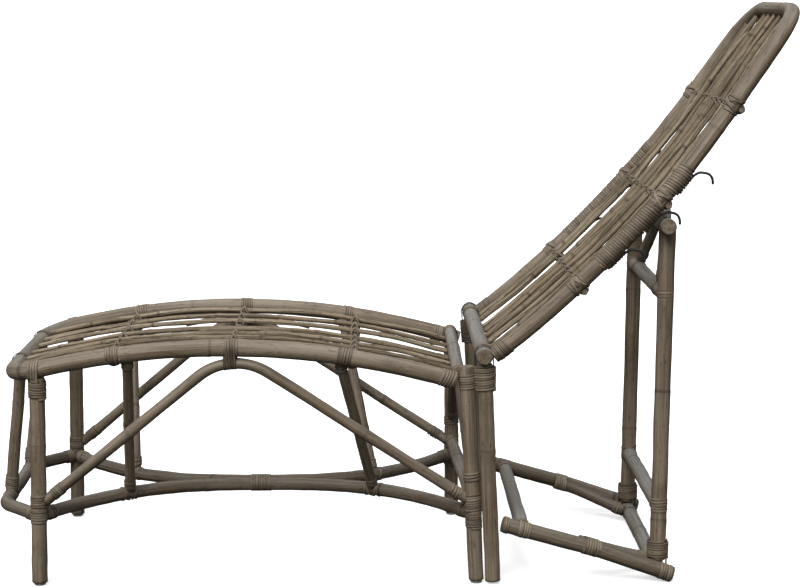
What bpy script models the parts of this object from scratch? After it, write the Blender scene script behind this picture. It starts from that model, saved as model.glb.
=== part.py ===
"""Rattan chaise longue: a cane bench, and behind it a reclining cane backrest
carried by an easel base and a swinging prop with hooks.

Metres, +Z up.  -X is the foot end, +X the head end, -Y the sitter's left.
The datum empty puts the middle of the plan over the world origin, floor at 0.
"""
import math

import bmesh
import bpy
from mathutils import Vector

# ---------------------------------------------------------------- dimensions
PLAN_MID_X = 0.050702       # bench datum to the middle of the plan
GAP = 0.0004               # clearance between poles that touch

# bench
SEAT_HALF = 0.2385         # rail centre line to the middle
SEAT_R = 0.0158            # seat frame pole
SEAT_CROWN = (-0.270, 0.4535)
SEAT_BOW = 0.335           # crown: drop = bow * dx^2
SEAT_FRONT_X = -0.668
SEAT_CORNER_R = 0.075
SEAT_REAR_X = {-1: 0.1664, 1: 0.1925}   # left end meets the leg, right end lies over it
REAR_RAIL_X = {-1: 0.1715, 1: 0.1745}
REAR_RAIL_Z = 0.4020
REAR_RAIL_R = 0.0125
LEG_R = 0.0145
FRONT_LEG_X = -0.616
FRONT_LEG_LEAN = 0.0030             # half the lean between head and foot
REAR_LEG_TOP = {-1: (0.1858, 0.4170), 1: (0.1782, 0.3646)}
REAR_LEG_FOOT = {-1: (0.2060, 0.0060), 1: (0.1800, 0.0060)}
GLIDE_R = 0.0110
GLIDE_H = 0.0056
ARCH_R = 0.0105
ARCH_PEAK = {-1: (-0.2514, 0.4512), 1: (-0.2640, 0.4490)}   # where the limbs would cross
ARCH_BEND_R = 0.110
STRETCHER_R = 0.0125
STRETCHER_Z = 0.134
STRETCHER_MID_X = -0.210
STRETCHER_POWER = 2.8
FRONT_U_X = -0.697
FRONT_U_HALF = 0.150
FRONT_U_BEND = 0.055
STICK_R = 0.0098
FRONT_STICK_R = 0.0115
CROSSBAR_X = (-0.472, -0.2535, -0.0270)
CROSSBAR_R = 0.0110
CROSSBAR_DROP = 0.0120             # below the rail centre line
SEAT_CANE_R = 0.0048
SEAT_CANE_Y = (-0.200, -0.153, -0.104, -0.050, 0.030, 0.091, 0.168)
CANE_R = 0.0055
CANE_Y = {-1: (0.0286, 0.0858, 0.1430, 0.2002), 1: (0.0286, 0.0740, 0.1580, 0.2002)}
LASH_R = 0.0030

# back carrier
POST_HALF = 0.2450
POST_R = 0.0145
POST_TOP = (0.2185, 0.4230)
POST_FOOT = (0.2370, 0.0060)
PIVOT = (0.2175, 0.4403)           # hinge line of the backrest
PIVOT_R = 0.0150
PIVOT_HALF = 0.2700
STRAP_R = 0.0015
BASE_HALF = 0.2405
BASE_R = 0.0145
BASE_START = (0.2550, 0.1140)
BASE_BEND = (0.428, 0.0660)
BASE_END_X = 0.5780
BASE_FRONT_X = 0.2935
BASE_FRONT_R = 0.0135
REAR_BAR = (0.5540, 0.0185)        # hinge line of the prop
REAR_BAR_R = 0.0145
BRANCH_R = 0.0115
BRANCH_END_HALF = 0.1640

# backrest
BACK_R = 0.0145
BACK_HALF = ((0.0, 0.2430), (0.36, 0.2430), (0.66, 0.2185), (0.868, 0.2060))
BACK_START = (0.2254, 0.4298)      # where the rail's curve begins, behind the pivot bar
BACK_SLOPE = (36.81, 45.31, -121.0, 277.9, -203.9)   # rail slope in degrees, powers of s
BACK_LENGTH = 0.8640               # along the rail, pivot bar to top rail
BACK_CORNER_R = 0.0950
BACK_BAR_S = (0.218, 0.437, 0.655)
BACK_BAR_R = 0.0090
BACK_BAR_HALF = (0.2500, 0.2480, 0.2270)
BAR_REAR = 0.0165                  # crossbar centre line behind the rail centre line
HOOK_R = 0.0025
HOOK_PITCH = 0.0925

# prop
PROP_HALF = 0.2110
PROP_R = 0.0145
PROP_TOP_RAIL = (0.5560, 0.6795)
PROP_TOP_R = 0.0151
PROP_TOP_HALF = 0.2520
PROP_UPPER = (0.5622, 0.5465)
PROP_LOWER = (0.5572, 0.1395)
PROP_RAIL_R = 0.0142
PROP_ARCH_FOOT_HALF = 0.1560
PROP_ARCH_RISE = 0.1620
PROP_ARCH_BEND = 0.0550
PROP_ARCH_LEAN = 0.0330            # the arch stands behind the top rail

# finishes: colour, roughness, metallic
RATTAN = ((0.226, 0.176, 0.121), 0.58, 0.0)
RATTAN_PALE = ((0.262, 0.212, 0.150), 0.60, 0.0)
CANE = ((0.290, 0.238, 0.165), 0.55, 0.0)
BLACK_STEEL = ((0.014, 0.014, 0.015), 0.42, 1.0)
STEEL = ((0.520, 0.520, 0.510), 0.35, 1.0)
GLIDE_WHITE = ((0.600, 0.600, 0.580), 0.50, 0.0)


# ---------------------------------------------------------------- clean start
for old in list(bpy.data.objects):
    bpy.data.objects.remove(old, do_unlink=True)

parts = bpy.data.collections.new("rattan_chaise_longue")
bpy.context.scene.collection.children.link(parts)
cutters = bpy.data.collections.new("joining_shapes")
bpy.context.scene.collection.children.link(cutters)


def make_empty(name, location, parent=None):
    empty = bpy.data.objects.new(name, None)
    empty.empty_display_size = 0.05
    empty.location = location
    empty.parent = parent
    parts.objects.link(empty)
    return empty


datum = make_empty("chaise_datum", (-PLAN_MID_X, 0.0, 0.0))
backrest_pivot = make_empty("backrest_pivot", (PIVOT[0], 0.0, PIVOT[1]), datum)
prop_pivot = make_empty("prop_pivot", (REAR_BAR[0], 0.0, REAR_BAR[1]), datum)
ORIGIN = {
    datum: Vector((0.0, 0.0, 0.0)),
    backrest_pivot: Vector((PIVOT[0], 0.0, PIVOT[1])),
    prop_pivot: Vector((REAR_BAR[0], 0.0, REAR_BAR[1])),
}


# ---------------------------------------------------------------- helpers
def finish(obj, look):
    colour, roughness, metallic = look
    mat = bpy.data.materials.new(obj.name + "_finish")
    mat.use_nodes = True
    shader = mat.node_tree.nodes["Principled BSDF"]
    shader.inputs["Base Color"].default_value = (*colour, 1.0)
    shader.inputs["Roughness"].default_value = roughness
    shader.inputs["Metallic"].default_value = metallic
    obj.data.materials.clear()
    obj.data.materials.append(mat)


def pole(name, points, radius, look, carrier, sides=4, collection=None):
    """A round pole along a list of datum-frame points, with cut ends."""
    curve = bpy.data.curves.new(name, "CURVE")
    curve.dimensions = "3D"
    curve.bevel_depth = radius
    curve.bevel_resolution = sides
    curve.use_fill_caps = True
    spline = curve.splines.new("POLY")
    spline.points.add(len(points) - 1)
    for knot, p in zip(spline.points, points):
        knot.co = (*(Vector(p) - ORIGIN[carrier]), 1.0)
    spline.use_smooth = True
    obj = bpy.data.objects.new(name, curve)
    obj.parent = carrier
    (collection or parts).objects.link(obj)
    finish(obj, look)
    return obj


def pole_mesh(obj):
    """The pole as a closed mesh, its end caps welded on."""
    bpy.context.view_layer.update()
    shell = obj.evaluated_get(bpy.context.evaluated_depsgraph_get())
    mesh = bpy.data.meshes.new_from_object(shell)
    bm = bmesh.new()
    bm.from_mesh(mesh)
    bmesh.ops.remove_doubles(bm, verts=bm.verts, dist=0.00001)
    bmesh.ops.recalc_face_normals(bm, faces=bm.faces)
    bm.to_mesh(mesh)
    bm.free()
    solid = bpy.data.objects.new(obj.name + "_solid", mesh)
    solid.parent = obj.parent
    obj.users_collection[0].objects.link(solid)
    name = obj.name
    bpy.data.objects.remove(obj, do_unlink=True)
    solid.name = name
    return solid


def union_into(base, others):
    for other in others:
        other.hide_render = True
        other.display_type = "WIRE"
        joint = base.modifiers.new("lashed_" + other.name, "BOOLEAN")
        joint.operation = "UNION"
        joint.solver = "EXACT"
        joint.object = other


def meet(axis_point, direction, own_r, other_dir, other_r):
    """Centre of a square-cut pole end that stops against another pole.

    direction points along the pole towards the other pole's axis.
    """
    d = Vector(direction).normalized()
    lean = abs(d.dot(Vector(other_dir).normalized()))
    run = (other_r + GAP + own_r * lean) / math.sqrt(1.0 - lean * lean)
    return Vector(axis_point) - d * run


def fillet(points, radius, steps):
    """A polyline whose inner corners are rounded with arcs."""
    points = [Vector(p) for p in points]
    path = [points[0]]
    for before, corner, after in zip(points, points[1:], points[2:]):
        a = (before - corner).normalized()
        b = (after - corner).normalized()
        half = math.acos(max(-1.0, min(1.0, a.dot(b)))) / 2.0
        reach = radius / math.tan(half)
        centre = corner + (a + b).normalized() * (radius / math.sin(half))
        p0 = corner + a * reach - centre
        p1 = corner + b * reach - centre
        sweep = math.acos(max(-1.0, min(1.0, p0.dot(p1) / (radius * radius))))
        for i in range(steps + 1):
            t = i / steps
            w0 = math.sin((1.0 - t) * sweep) / math.sin(sweep)
            w1 = math.sin(t * sweep) / math.sin(sweep)
            path.append(centre + p0 * w0 + p1 * w1)
    path.append(points[-1])
    return path


def side_name(sign):
    return "left" if sign < 0 else "right"


SIDES = (-1, 1)
AXIS_X = (1.0, 0.0, 0.0)
AXIS_Y = (0.0, 1.0, 0.0)
AXIS_Z = (0.0, 0.0, 1.0)


def seat_z(x):
    return SEAT_CROWN[1] - SEAT_BOW * (x - SEAT_CROWN[0]) ** 2


# ---------------------------------------------------------------- bench frame
def seat_side(sign):
    corner_x = SEAT_FRONT_X + SEAT_CORNER_R
    corner_y = SEAT_HALF - SEAT_CORNER_R
    rear_x = SEAT_REAR_X[sign]
    run = []
    for i in range(13):
        run.append((rear_x + (corner_x - rear_x) * i / 12.0, sign * SEAT_HALF))
    for i in range(1, 8):
        a = math.radians(90.0 * i / 7.0)
        run.append((corner_x - SEAT_CORNER_R * math.sin(a),
                    sign * (corner_y + SEAT_CORNER_R * math.cos(a))))
    return run


seat_plan = seat_side(-1) + list(reversed(seat_side(1)))
pole("seat_frame", [(x, y, seat_z(x)) for x, y in seat_plan], SEAT_R, RATTAN, datum)

rail_in = SEAT_HALF - SEAT_R - GAP
rear_rail = {}
for sign in SIDES:
    rear_rail[sign] = Vector((REAR_RAIL_X[sign], sign * (rail_in - 0.0006),
                              REAR_RAIL_Z))
pole("seat_rear_rail", [rear_rail[-1], rear_rail[1]], REAR_RAIL_R, RATTAN, datum)


def rear_leg_x(z, sign):
    top, foot = REAR_LEG_TOP[sign], REAR_LEG_FOOT[sign]
    t = (z - foot[1]) / (top[1] - foot[1])
    return foot[0] + (top[0] - foot[0]) * t


leg_foot_z = GLIDE_H + GAP
front_leg_top = seat_z(FRONT_LEG_X - LEG_R) - SEAT_R * 1.03 - GAP
for sign in SIDES:
    y = sign * SEAT_HALF
    pole("leg_front_" + side_name(sign),
         [(FRONT_LEG_X + FRONT_LEG_LEAN, y, front_leg_top),
          (FRONT_LEG_X - FRONT_LEG_LEAN, y, leg_foot_z)],
         LEG_R, RATTAN, datum)
    pole("leg_rear_" + side_name(sign),
         [(REAR_LEG_TOP[sign][0], y, REAR_LEG_TOP[sign][1]),
          (REAR_LEG_FOOT[sign][0], y, leg_foot_z + 0.0008)],
         LEG_R, RATTAN, datum)
    for end, x in (("front", FRONT_LEG_X - FRONT_LEG_LEAN), ("rear", REAR_LEG_FOOT[sign][0])):
        bpy.ops.mesh.primitive_cylinder_add(
            vertices=20, radius=GLIDE_R, depth=GLIDE_H, location=(0.0, 0.0, 0.0))
        glide = bpy.context.object
        glide.name = "glide_" + end + "_" + side_name(sign)
        for holder in list(glide.users_collection):
            holder.objects.unlink(glide)
        parts.objects.link(glide)
        glide.parent = datum
        glide.location = (x, y, GLIDE_H / 2.0)
        glide.data.shade_smooth()
        glide.data.set_sharp_from_angle(angle=math.radians(40.0))
        finish(glide, GLIDE_WHITE)

# inverted V braces of the two sides
for sign in SIDES:
    y = sign * SEAT_HALF
    peak = Vector((ARCH_PEAK[sign][0], y, ARCH_PEAK[sign][1]))
    aim_front = Vector((FRONT_LEG_X, y, 0.1525))
    aim_rear = Vector((rear_leg_x(0.1560, sign), y, 0.1560))
    front_foot = meet(aim_front, aim_front - peak, ARCH_R, AXIS_Z, LEG_R)
    rear_foot = meet(aim_rear, aim_rear - peak, ARCH_R, AXIS_Z, LEG_R + 0.0006)
    pole("side_arch_" + side_name(sign),
         fillet([front_foot, peak, rear_foot], ARCH_BEND_R, 10),
         ARCH_R, RATTAN, datum, sides=3)


# lower stretchers of the two sides bow in until they touch
def stretcher_y(x, sign):
    span = FRONT_LEG_X - STRETCHER_MID_X if x < STRETCHER_MID_X else \
        rear_leg_x(STRETCHER_Z, sign) - STRETCHER_MID_X
    t = abs((x - STRETCHER_MID_X) / span)
    near = STRETCHER_R + GAP
    return near + (SEAT_HALF - near) * t ** STRETCHER_POWER


def stretcher_slope(x, sign):
    h = 0.001
    return (stretcher_y(x + h, sign) - stretcher_y(x - h, sign)) / (2.0 * h)


x_front = FRONT_LEG_X + 0.0112
for sign in SIDES:
    x_rear = rear_leg_x(STRETCHER_Z, sign) - 0.0112
    run = []
    for i in range(19):
        x = x_front + (x_rear - x_front) * i / 18.0
        run.append((x, sign * stretcher_y(x, sign), STRETCHER_Z))
    pole("side_stretcher_" + side_name(sign), run, STRETCHER_R, RATTAN, datum, sides=3)

# foot end stretcher, a shallow U pushed out past the front legs
out_dir = Vector((FRONT_U_X - FRONT_LEG_X, SEAT_HALF - FRONT_U_HALF, 0.0)).normalized()
u_start = Vector((FRONT_LEG_X, -SEAT_HALF, 0.0)) + out_dir * (LEG_R + 0.0020)
u_end = Vector((u_start.x, -u_start.y, 0.0))
u_path = fillet([u_start, (FRONT_U_X, -FRONT_U_HALF, 0.0),
                 (FRONT_U_X, FRONT_U_HALF, 0.0), u_end], FRONT_U_BEND, 7)
pole("front_stretcher", [(p.x, p.y, STRETCHER_Z) for p in u_path],
     STRETCHER_R, RATTAN, datum, sides=3)

# head end of the bench: straight stretcher and an inverted V brace
leg_in = SEAT_HALF - LEG_R - 0.0012
pole("rear_stretcher", [(rear_leg_x(0.1620, sign), sign * leg_in, 0.1620) for sign in SIDES],
     STRETCHER_R, RATTAN, datum, sides=3)
v_peak = Vector((0.1760, 0.0, 0.3980))
v_foot = {}
for sign in SIDES:
    aim = Vector((rear_leg_x(0.2080, sign), sign * SEAT_HALF, 0.2080))
    v_foot[sign] = meet(aim, aim - v_peak, ARCH_R, AXIS_Z, LEG_R + 0.0008)
pole("rear_arch", fillet([v_foot[-1], v_peak, v_foot[1]], 0.075, 10),
     ARCH_R, RATTAN, datum, sides=3)

# sticks from the side rails down to the bowed stretchers
for end, sign, top_x, low_x in (("front", -1, -0.4450, -0.4660), ("front", 1, -0.4935, -0.4715),
                                ("rear", -1, -0.0530, 0.0120), ("rear", 1, -0.0530, 0.0120)):
    top = Vector((top_x, sign * SEAT_HALF, seat_z(top_x)))
    low = Vector((low_x, sign * stretcher_y(low_x, sign), STRETCHER_Z))
    slope = Vector((1.0, sign * stretcher_slope(low_x, sign), 0.0))
    pole("side_stick_" + end + "_" + side_name(sign),
         [meet(top, top - low, STICK_R, AXIS_X, SEAT_R + 0.0024),
          meet(low, low - top, STICK_R, slope, STRETCHER_R + 0.0003)],
         STICK_R, RATTAN, datum, sides=3)

# sticks of the foot end
for sign, top_y, low_y in ((-1, -0.0920, -0.0880), (1, 0.1500, 0.1250)):
    top = Vector((SEAT_FRONT_X, top_y, seat_z(SEAT_FRONT_X)))
    low = Vector((FRONT_U_X, low_y, STRETCHER_Z))
    pole("front_stick_" + side_name(sign),
         [meet(top, top - low, FRONT_STICK_R, AXIS_Y, SEAT_R),
          meet(low, low - top, FRONT_STICK_R, AXIS_Y, STRETCHER_R)],
         FRONT_STICK_R, RATTAN, datum, sides=3)

# ---------------------------------------------------------------- seat canes
for name, x in zip(("front", "middle", "rear"), CROSSBAR_X):
    z = seat_z(x) - CROSSBAR_DROP
    pole("seat_crossbar_" + name, [(x, -rail_in, z), (x, rail_in, z)],
         CROSSBAR_R, RATTAN, datum, sides=3)

CANE_LIFT = CROSSBAR_R - CROSSBAR_DROP + SEAT_CANE_R + GAP


def seat_cane(sign, y):
    inner = SEAT_CORNER_R - SEAT_R
    dy = y - (SEAT_HALF - SEAT_CORNER_R)
    x0 = SEAT_FRONT_X + SEAT_R
    if dy > 0.0:
        x0 = SEAT_FRONT_X + SEAT_CORNER_R - math.sqrt(inner * inner - dy * dy)
    x0 += 0.0040
    u = 0.5 + 0.5 * sign * y / rail_in
    x1 = REAR_RAIL_X[-1] + (REAR_RAIL_X[1] - REAR_RAIL_X[-1]) * u - REAR_RAIL_R - 0.0022
    run = []
    for i in range(9):
        x = x0 + (x1 - x0) * i / 8.0
        run.append((x, sign * y, seat_z(x) + CANE_LIFT))
    return run


seat_canes = []
for i, y in enumerate(SEAT_CANE_Y):
    strand = pole("seat_cane_%d" % i, seat_cane(1 if y > 0.0 else -1, abs(y)),
                  SEAT_CANE_R, CANE, datum, sides=1, collection=cutters)
    seat_canes.append(pole_mesh(strand))
lashings = []
for i, x in enumerate(CROSSBAR_X):
    z = seat_z(x) + CANE_LIFT + 0.0032
    strand = pole("seat_lashing_%d" % i,
                  [(x, SEAT_CANE_Y[0] - 0.0070, z), (x, SEAT_CANE_Y[-1] + 0.0070, z)],
                  LASH_R, CANE, datum, sides=1, collection=cutters)
    lashings.append(pole_mesh(strand))
seat_mat = lashings[0]
seat_mat.name = "seat_cane_mat"
cutters.objects.unlink(seat_mat)
parts.objects.link(seat_mat)
finish(seat_mat, CANE)
union_into(seat_mat, seat_canes + lashings[1:])

# ---------------------------------------------------------------- back carrier
for sign in SIDES:
    y = sign * POST_HALF
    pole("post_" + side_name(sign),
         [(POST_TOP[0], y, POST_TOP[1]), (POST_FOOT[0], y, POST_FOOT[1])],
         POST_R, RATTAN, datum)
    # steel loop over the pivot bar, its two ends down the sides of the post
    loop_r = PIVOT_R + STRAP_R + 0.0008
    lean = (POST_FOOT[0] - POST_TOP[0]) / (POST_TOP[1] - POST_FOOT[1])
    hug = POST_R + STRAP_R + 0.0007
    low_z = PIVOT[1] - 0.056
    top_x = POST_TOP[0]
    low_x = POST_TOP[0] + lean * (POST_TOP[1] - low_z)
    run = [(low_x - hug, y, low_z), (top_x - hug - 0.0003, y, POST_TOP[1])]
    for i in range(11):
        a = math.radians(180.0 - 18.0 * i)
        run.append((PIVOT[0] + loop_r * math.cos(a), y, PIVOT[1] + loop_r * math.sin(a)))
    run += [(top_x + hug + 0.0003, y, POST_TOP[1]), (low_x + hug, y, low_z)]
    pole("pivot_strap_" + side_name(sign), run, STRAP_R, STEEL, datum, sides=2)

base_slope = (BASE_BEND[1] - 0.0141) / (BASE_END_X - BASE_BEND[0])
base_end_z = BASE_R * math.cos(math.atan(base_slope)) + 0.0004


def base_rail_z(x):
    if x < BASE_BEND[0]:
        t = (x - BASE_START[0]) / (BASE_BEND[0] - BASE_START[0])
        return BASE_START[1] + (BASE_BEND[1] - BASE_START[1]) * t
    t = (x - BASE_BEND[0]) / (BASE_END_X - BASE_BEND[0])
    return BASE_BEND[1] + (base_end_z - BASE_BEND[1]) * t


for sign in SIDES:
    y = sign * BASE_HALF
    pole("base_rail_" + side_name(sign),
         fillet([(BASE_START[0], y, BASE_START[1]), (BASE_BEND[0], y, BASE_BEND[1]),
                 (BASE_END_X, y, base_end_z)], 0.30, 4),
         BASE_R, RATTAN, datum)
    yb = sign * (BASE_HALF - BASE_R - BRANCH_R - 0.0008)
    aim = Vector((REAR_BAR[0], sign * BRANCH_END_HALF, REAR_BAR[1]))
    turn = Vector((0.4450, yb, base_rail_z(0.4450)))
    pole("base_branch_" + side_name(sign),
         fillet([(0.4020, yb, base_rail_z(0.4020)), turn,
                 meet(aim, aim - turn, BRANCH_R, AXIS_Y, REAR_BAR_R)], 0.080, 5),
         BRANCH_R, RATTAN, datum, sides=3)

base_in = BASE_HALF - BASE_R - 0.0006
base_front_z = base_rail_z(BASE_FRONT_X)
pole("base_front_rail", [(BASE_FRONT_X, -base_in, base_front_z),
                         (BASE_FRONT_X, base_in, base_front_z)],
     BASE_FRONT_R, RATTAN_PALE, datum)
pole("base_rear_bar", [(REAR_BAR[0], -base_in, REAR_BAR[1]),
                       (REAR_BAR[0], base_in, REAR_BAR[1])],
     REAR_BAR_R, RATTAN_PALE, datum)


# ---------------------------------------------------------------- backrest
def back_slope(s):
    return math.radians(sum(c * s ** k for k, c in enumerate(BACK_SLOPE)))


def back_frame(s):
    """Point, along-direction and rearward normal of the rail curve at s."""
    x, z = BACK_START
    step = s / 48.0
    for i in range(48):
        a = back_slope((i + 0.5) * step)
        x += step * math.cos(a)
        z += step * math.sin(a)
    a = back_slope(s)
    return (Vector((x, 0.0, z)), Vector((math.cos(a), 0.0, math.sin(a))),
            Vector((math.sin(a), 0.0, -math.cos(a))))


def back_point(s, y, rear=0.0):
    p, along, normal = back_frame(s)
    q = p + normal * rear
    return (q.x, y, q.z)


def back_half(s):
    """Half width between the rails: a waist at the pivot, a taper to the top."""
    for (s0, h0), (s1, h1) in zip(BACK_HALF, BACK_HALF[1:]):
        if s <= s1:
            break
    u = max(0.0, min(1.0, (s - s0) / (s1 - s0)))
    return h0 + (h1 - h0) * u * u * (3.0 - 2.0 * u)


def back_plan():
    s_corner = BACK_LENGTH - BACK_CORNER_R
    y_corner = back_half(s_corner) - BACK_CORNER_R
    s0 = PIVOT_R + 0.0055
    run = [(s0 + (s_corner - s0) * i / 14.0, 0.0) for i in range(15)]
    run = [(s, -back_half(s)) for s, _ in run]
    for i in range(1, 9):
        a = math.radians(90.0 * i / 8.0)
        run.append((s_corner + BACK_CORNER_R * math.sin(a),
                    -y_corner - BACK_CORNER_R * math.cos(a)))
    return run + [(s, -y) for s, y in reversed(run)]


pole("pivot_bar", [(PIVOT[0], -PIVOT_HALF, PIVOT[1]), (PIVOT[0], PIVOT_HALF, PIVOT[1])],
     PIVOT_R, RATTAN, backrest_pivot)
pole("backrest_frame", [back_point(s, y) for s, y in back_plan()],
     BACK_R, RATTAN, backrest_pivot)

# the crossbars are notched to let the rails in
notch = pole_mesh(pole("back_rail_notch", [back_point(s, y) for s, y in back_plan()],
                       BACK_R + GAP, RATTAN, backrest_pivot, collection=cutters))
notch.hide_render = True
notch.display_type = "WIRE"
for name, s, half in zip(("lower", "middle", "upper"), BACK_BAR_S, BACK_BAR_HALF):
    bar = pole_mesh(pole("backrest_crossbar_" + name,
                         [back_point(s, -half, BAR_REAR), back_point(s, half, BAR_REAR)],
                         BACK_BAR_R, RATTAN, backrest_pivot, sides=3))
    finish(bar, RATTAN)
    cut = bar.modifiers.new("rail_notch", "BOOLEAN")
    cut.operation = "DIFFERENCE"
    cut.solver = "EXACT"
    cut.object = notch

CANE_REAR = BAR_REAR - BACK_BAR_R - CANE_R - GAP


def back_cane(sign, y):
    fan = y / CANE_Y[sign][3]
    s0 = PIVOT_R + 0.0005
    s1 = BACK_LENGTH - BACK_R - 0.0024
    top_y = fan * (back_half(s1) - BACK_R - 0.0190)
    dy = top_y - (back_half(BACK_LENGTH - BACK_CORNER_R) - BACK_CORNER_R)
    if dy > 0.0:
        inner = BACK_CORNER_R - BACK_R
        s1 = BACK_LENGTH - BACK_CORNER_R + math.sqrt(inner * inner - dy * dy) - 0.0100
    run = []
    for i in range(9):
        s = s0 + (s1 - s0) * i / 8.0
        run.append(back_point(s, sign * fan * (back_half(s) - BACK_R - 0.0190), CANE_REAR))
    return run


back_canes = []
for sign in SIDES:
    for i, y in enumerate(CANE_Y[sign]):
        strand = pole("back_cane_%s_%d" % (side_name(sign), i), back_cane(sign, y),
                      CANE_R, CANE, backrest_pivot, sides=1, collection=cutters)
        back_canes.append(pole_mesh(strand))
lashings = []
for i, s in enumerate(BACK_BAR_S):
    strand = pole("back_lashing_%d" % i,
                  [back_point(s, BACK_R + 0.0110 - back_half(s), CANE_REAR - 0.0032),
                   back_point(s, back_half(s) - BACK_R - 0.0110, CANE_REAR - 0.0032)],
                  LASH_R, CANE, backrest_pivot, sides=1, collection=cutters)
    lashings.append(pole_mesh(strand))
back_mat = lashings[0]
back_mat.name = "backrest_cane_mat"
cutters.objects.unlink(back_mat)
parts.objects.link(back_mat)
finish(back_mat, CANE)
union_into(back_mat, back_canes + lashings[1:])

# three hooks under each rail; the middle pair holds the prop's top rail
bar_at = Vector((PROP_TOP_RAIL[0], 0.0, PROP_TOP_RAIL[1]))
hook_s, best = 0.0, 1.0
for i in range(400):
    s = 0.30 + 0.0006 * i
    p, along, normal = back_frame(s)
    off = abs((bar_at - p).dot(along))
    if off < best:
        hook_s, best = s, off
p, along, normal = back_frame(hook_s)
bar_rear = (bar_at - p).dot(normal)
shank = BACK_R + HOOK_R + GAP
for sign in SIDES:
    for k, label in ((-1, "lower"), (0, "middle"), (1, "upper")):
        s = hook_s + k * HOOK_PITCH
        bend = [(-0.034, shank), (-0.004, shank), (0.0080, shank + 0.0012),
                (0.0180, shank + 0.0052), (0.0250, bar_rear - 0.0085),
                (0.0268, bar_rear - 0.0015), (0.0240, bar_rear + 0.0065),
                (0.0175, bar_rear + 0.0130)]
        y = sign * back_half(s)
        pole("hook_%s_%s" % (label, side_name(sign)),
             [back_point(s + ds, y, n) for ds, n in bend],
             HOOK_R, BLACK_STEEL, backrest_pivot, sides=2)

# ---------------------------------------------------------------- prop
prop_foot_z = REAR_BAR[1] + REAR_BAR_R + 0.0032
prop_top_z = PROP_TOP_RAIL[1] - PROP_TOP_R - GAP


def prop_x(z):
    t = (z - REAR_BAR[1]) / (PROP_TOP_RAIL[1] - REAR_BAR[1])
    return REAR_BAR[0] + (0.5600 - REAR_BAR[0]) * t


for sign in SIDES:
    y = sign * PROP_HALF
    pole("prop_post_" + side_name(sign),
         [(prop_x(prop_top_z), y, prop_top_z), (prop_x(prop_foot_z), y, prop_foot_z)],
         PROP_R, RATTAN, prop_pivot)
    loop_r = REAR_BAR_R + STRAP_R + 0.0008
    run = [(REAR_BAR[0] - loop_r, y, REAR_BAR[1] + 0.056)]
    for i in range(11):
        a = math.radians(180.0 + 18.0 * i)
        run.append((REAR_BAR[0] + loop_r * math.cos(a), y,
                    REAR_BAR[1] + loop_r * math.sin(a)))
    run.append((REAR_BAR[0] + loop_r + 0.0006, y, REAR_BAR[1] + 0.056))
    pole("prop_strap_" + side_name(sign), run, STRAP_R, STEEL, prop_pivot, sides=2)

pole("prop_top_rail", [(PROP_TOP_RAIL[0], -PROP_TOP_HALF, PROP_TOP_RAIL[1]),
                       (PROP_TOP_RAIL[0], PROP_TOP_HALF, PROP_TOP_RAIL[1])],
     PROP_TOP_R, RATTAN, prop_pivot)
prop_in = PROP_HALF - PROP_R - GAP
for name, at in (("upper", PROP_UPPER), ("lower", PROP_LOWER)):
    x = prop_x(at[1])
    pole("prop_%s_rail" % name, [(x, -prop_in, at[1]), (x, prop_in, at[1])],
         PROP_RAIL_R, RATTAN_PALE, prop_pivot, sides=3)

upper_x = prop_x(PROP_UPPER[1])
peak = Vector((upper_x + PROP_ARCH_LEAN, 0.0, PROP_UPPER[1] + PROP_ARCH_RISE))
foot = Vector((upper_x, -PROP_ARCH_FOOT_HALF, PROP_UPPER[1]))
foot_left = meet(foot, foot - peak, ARCH_R, AXIS_Y, PROP_RAIL_R)
foot_right = Vector((foot_left.x, -foot_left.y, foot_left.z))
pole("prop_arch", fillet([foot_left, peak, foot_right], PROP_ARCH_BEND, 9),
     ARCH_R, RATTAN, prop_pivot, sides=3)
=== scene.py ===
"""Looks of the rattan chaise longue.

Every pole is a modelled rattan cane with growth rings, slight unevenness and
cut ends; the canes, the lashings over the crossbars and the peel bindings at
the joints are modelled strand by strand.  Metres, row frame.
"""
import math
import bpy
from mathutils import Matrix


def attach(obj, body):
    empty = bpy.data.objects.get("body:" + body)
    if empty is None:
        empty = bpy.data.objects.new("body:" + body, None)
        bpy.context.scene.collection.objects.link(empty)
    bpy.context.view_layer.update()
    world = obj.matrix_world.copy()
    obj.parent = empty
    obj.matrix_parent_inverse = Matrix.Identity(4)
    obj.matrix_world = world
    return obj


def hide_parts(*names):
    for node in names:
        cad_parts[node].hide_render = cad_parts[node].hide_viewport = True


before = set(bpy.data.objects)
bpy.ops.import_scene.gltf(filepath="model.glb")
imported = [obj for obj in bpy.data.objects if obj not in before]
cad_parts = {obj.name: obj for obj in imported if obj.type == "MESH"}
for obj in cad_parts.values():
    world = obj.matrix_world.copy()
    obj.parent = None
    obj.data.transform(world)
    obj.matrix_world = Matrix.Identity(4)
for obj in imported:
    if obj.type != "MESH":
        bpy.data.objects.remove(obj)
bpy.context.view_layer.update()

import zlib

import bpy
import numpy as np
from mathutils import Matrix, Vector

# ---------------------------------------------------------------- dimensions
MID = 0.050702                     # bench datum to the middle of the plan
SEAT_HALF, SEAT_R = 0.2385, 0.0158
SEAT_FRONT_X, SEAT_CORNER_R = -0.668, 0.075
SEAT_REAR_X = {-1: 0.1664, 1: 0.1925}
REAR_RAIL_X = {-1: 0.1715, 1: 0.1745}
REAR_RAIL_Z, REAR_RAIL_R = 0.4020, 0.0125
LEG_R = 0.0145
FRONT_LEG_X, FRONT_LEG_LEAN = -0.616, 0.0030
REAR_LEG_TOP = {-1: (0.1858, 0.4170), 1: (0.1782, 0.3646)}
REAR_LEG_FOOT = {-1: (0.2060, 0.0060), 1: (0.1800, 0.0060)}
GLIDE_R, GLIDE_H = 0.0110, 0.0056
ARCH_R, ARCH_BEND_R = 0.0105, 0.110
ARCH_PEAK = {-1: (-0.2514, 0.4512), 1: (-0.2640, 0.4490)}
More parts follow.
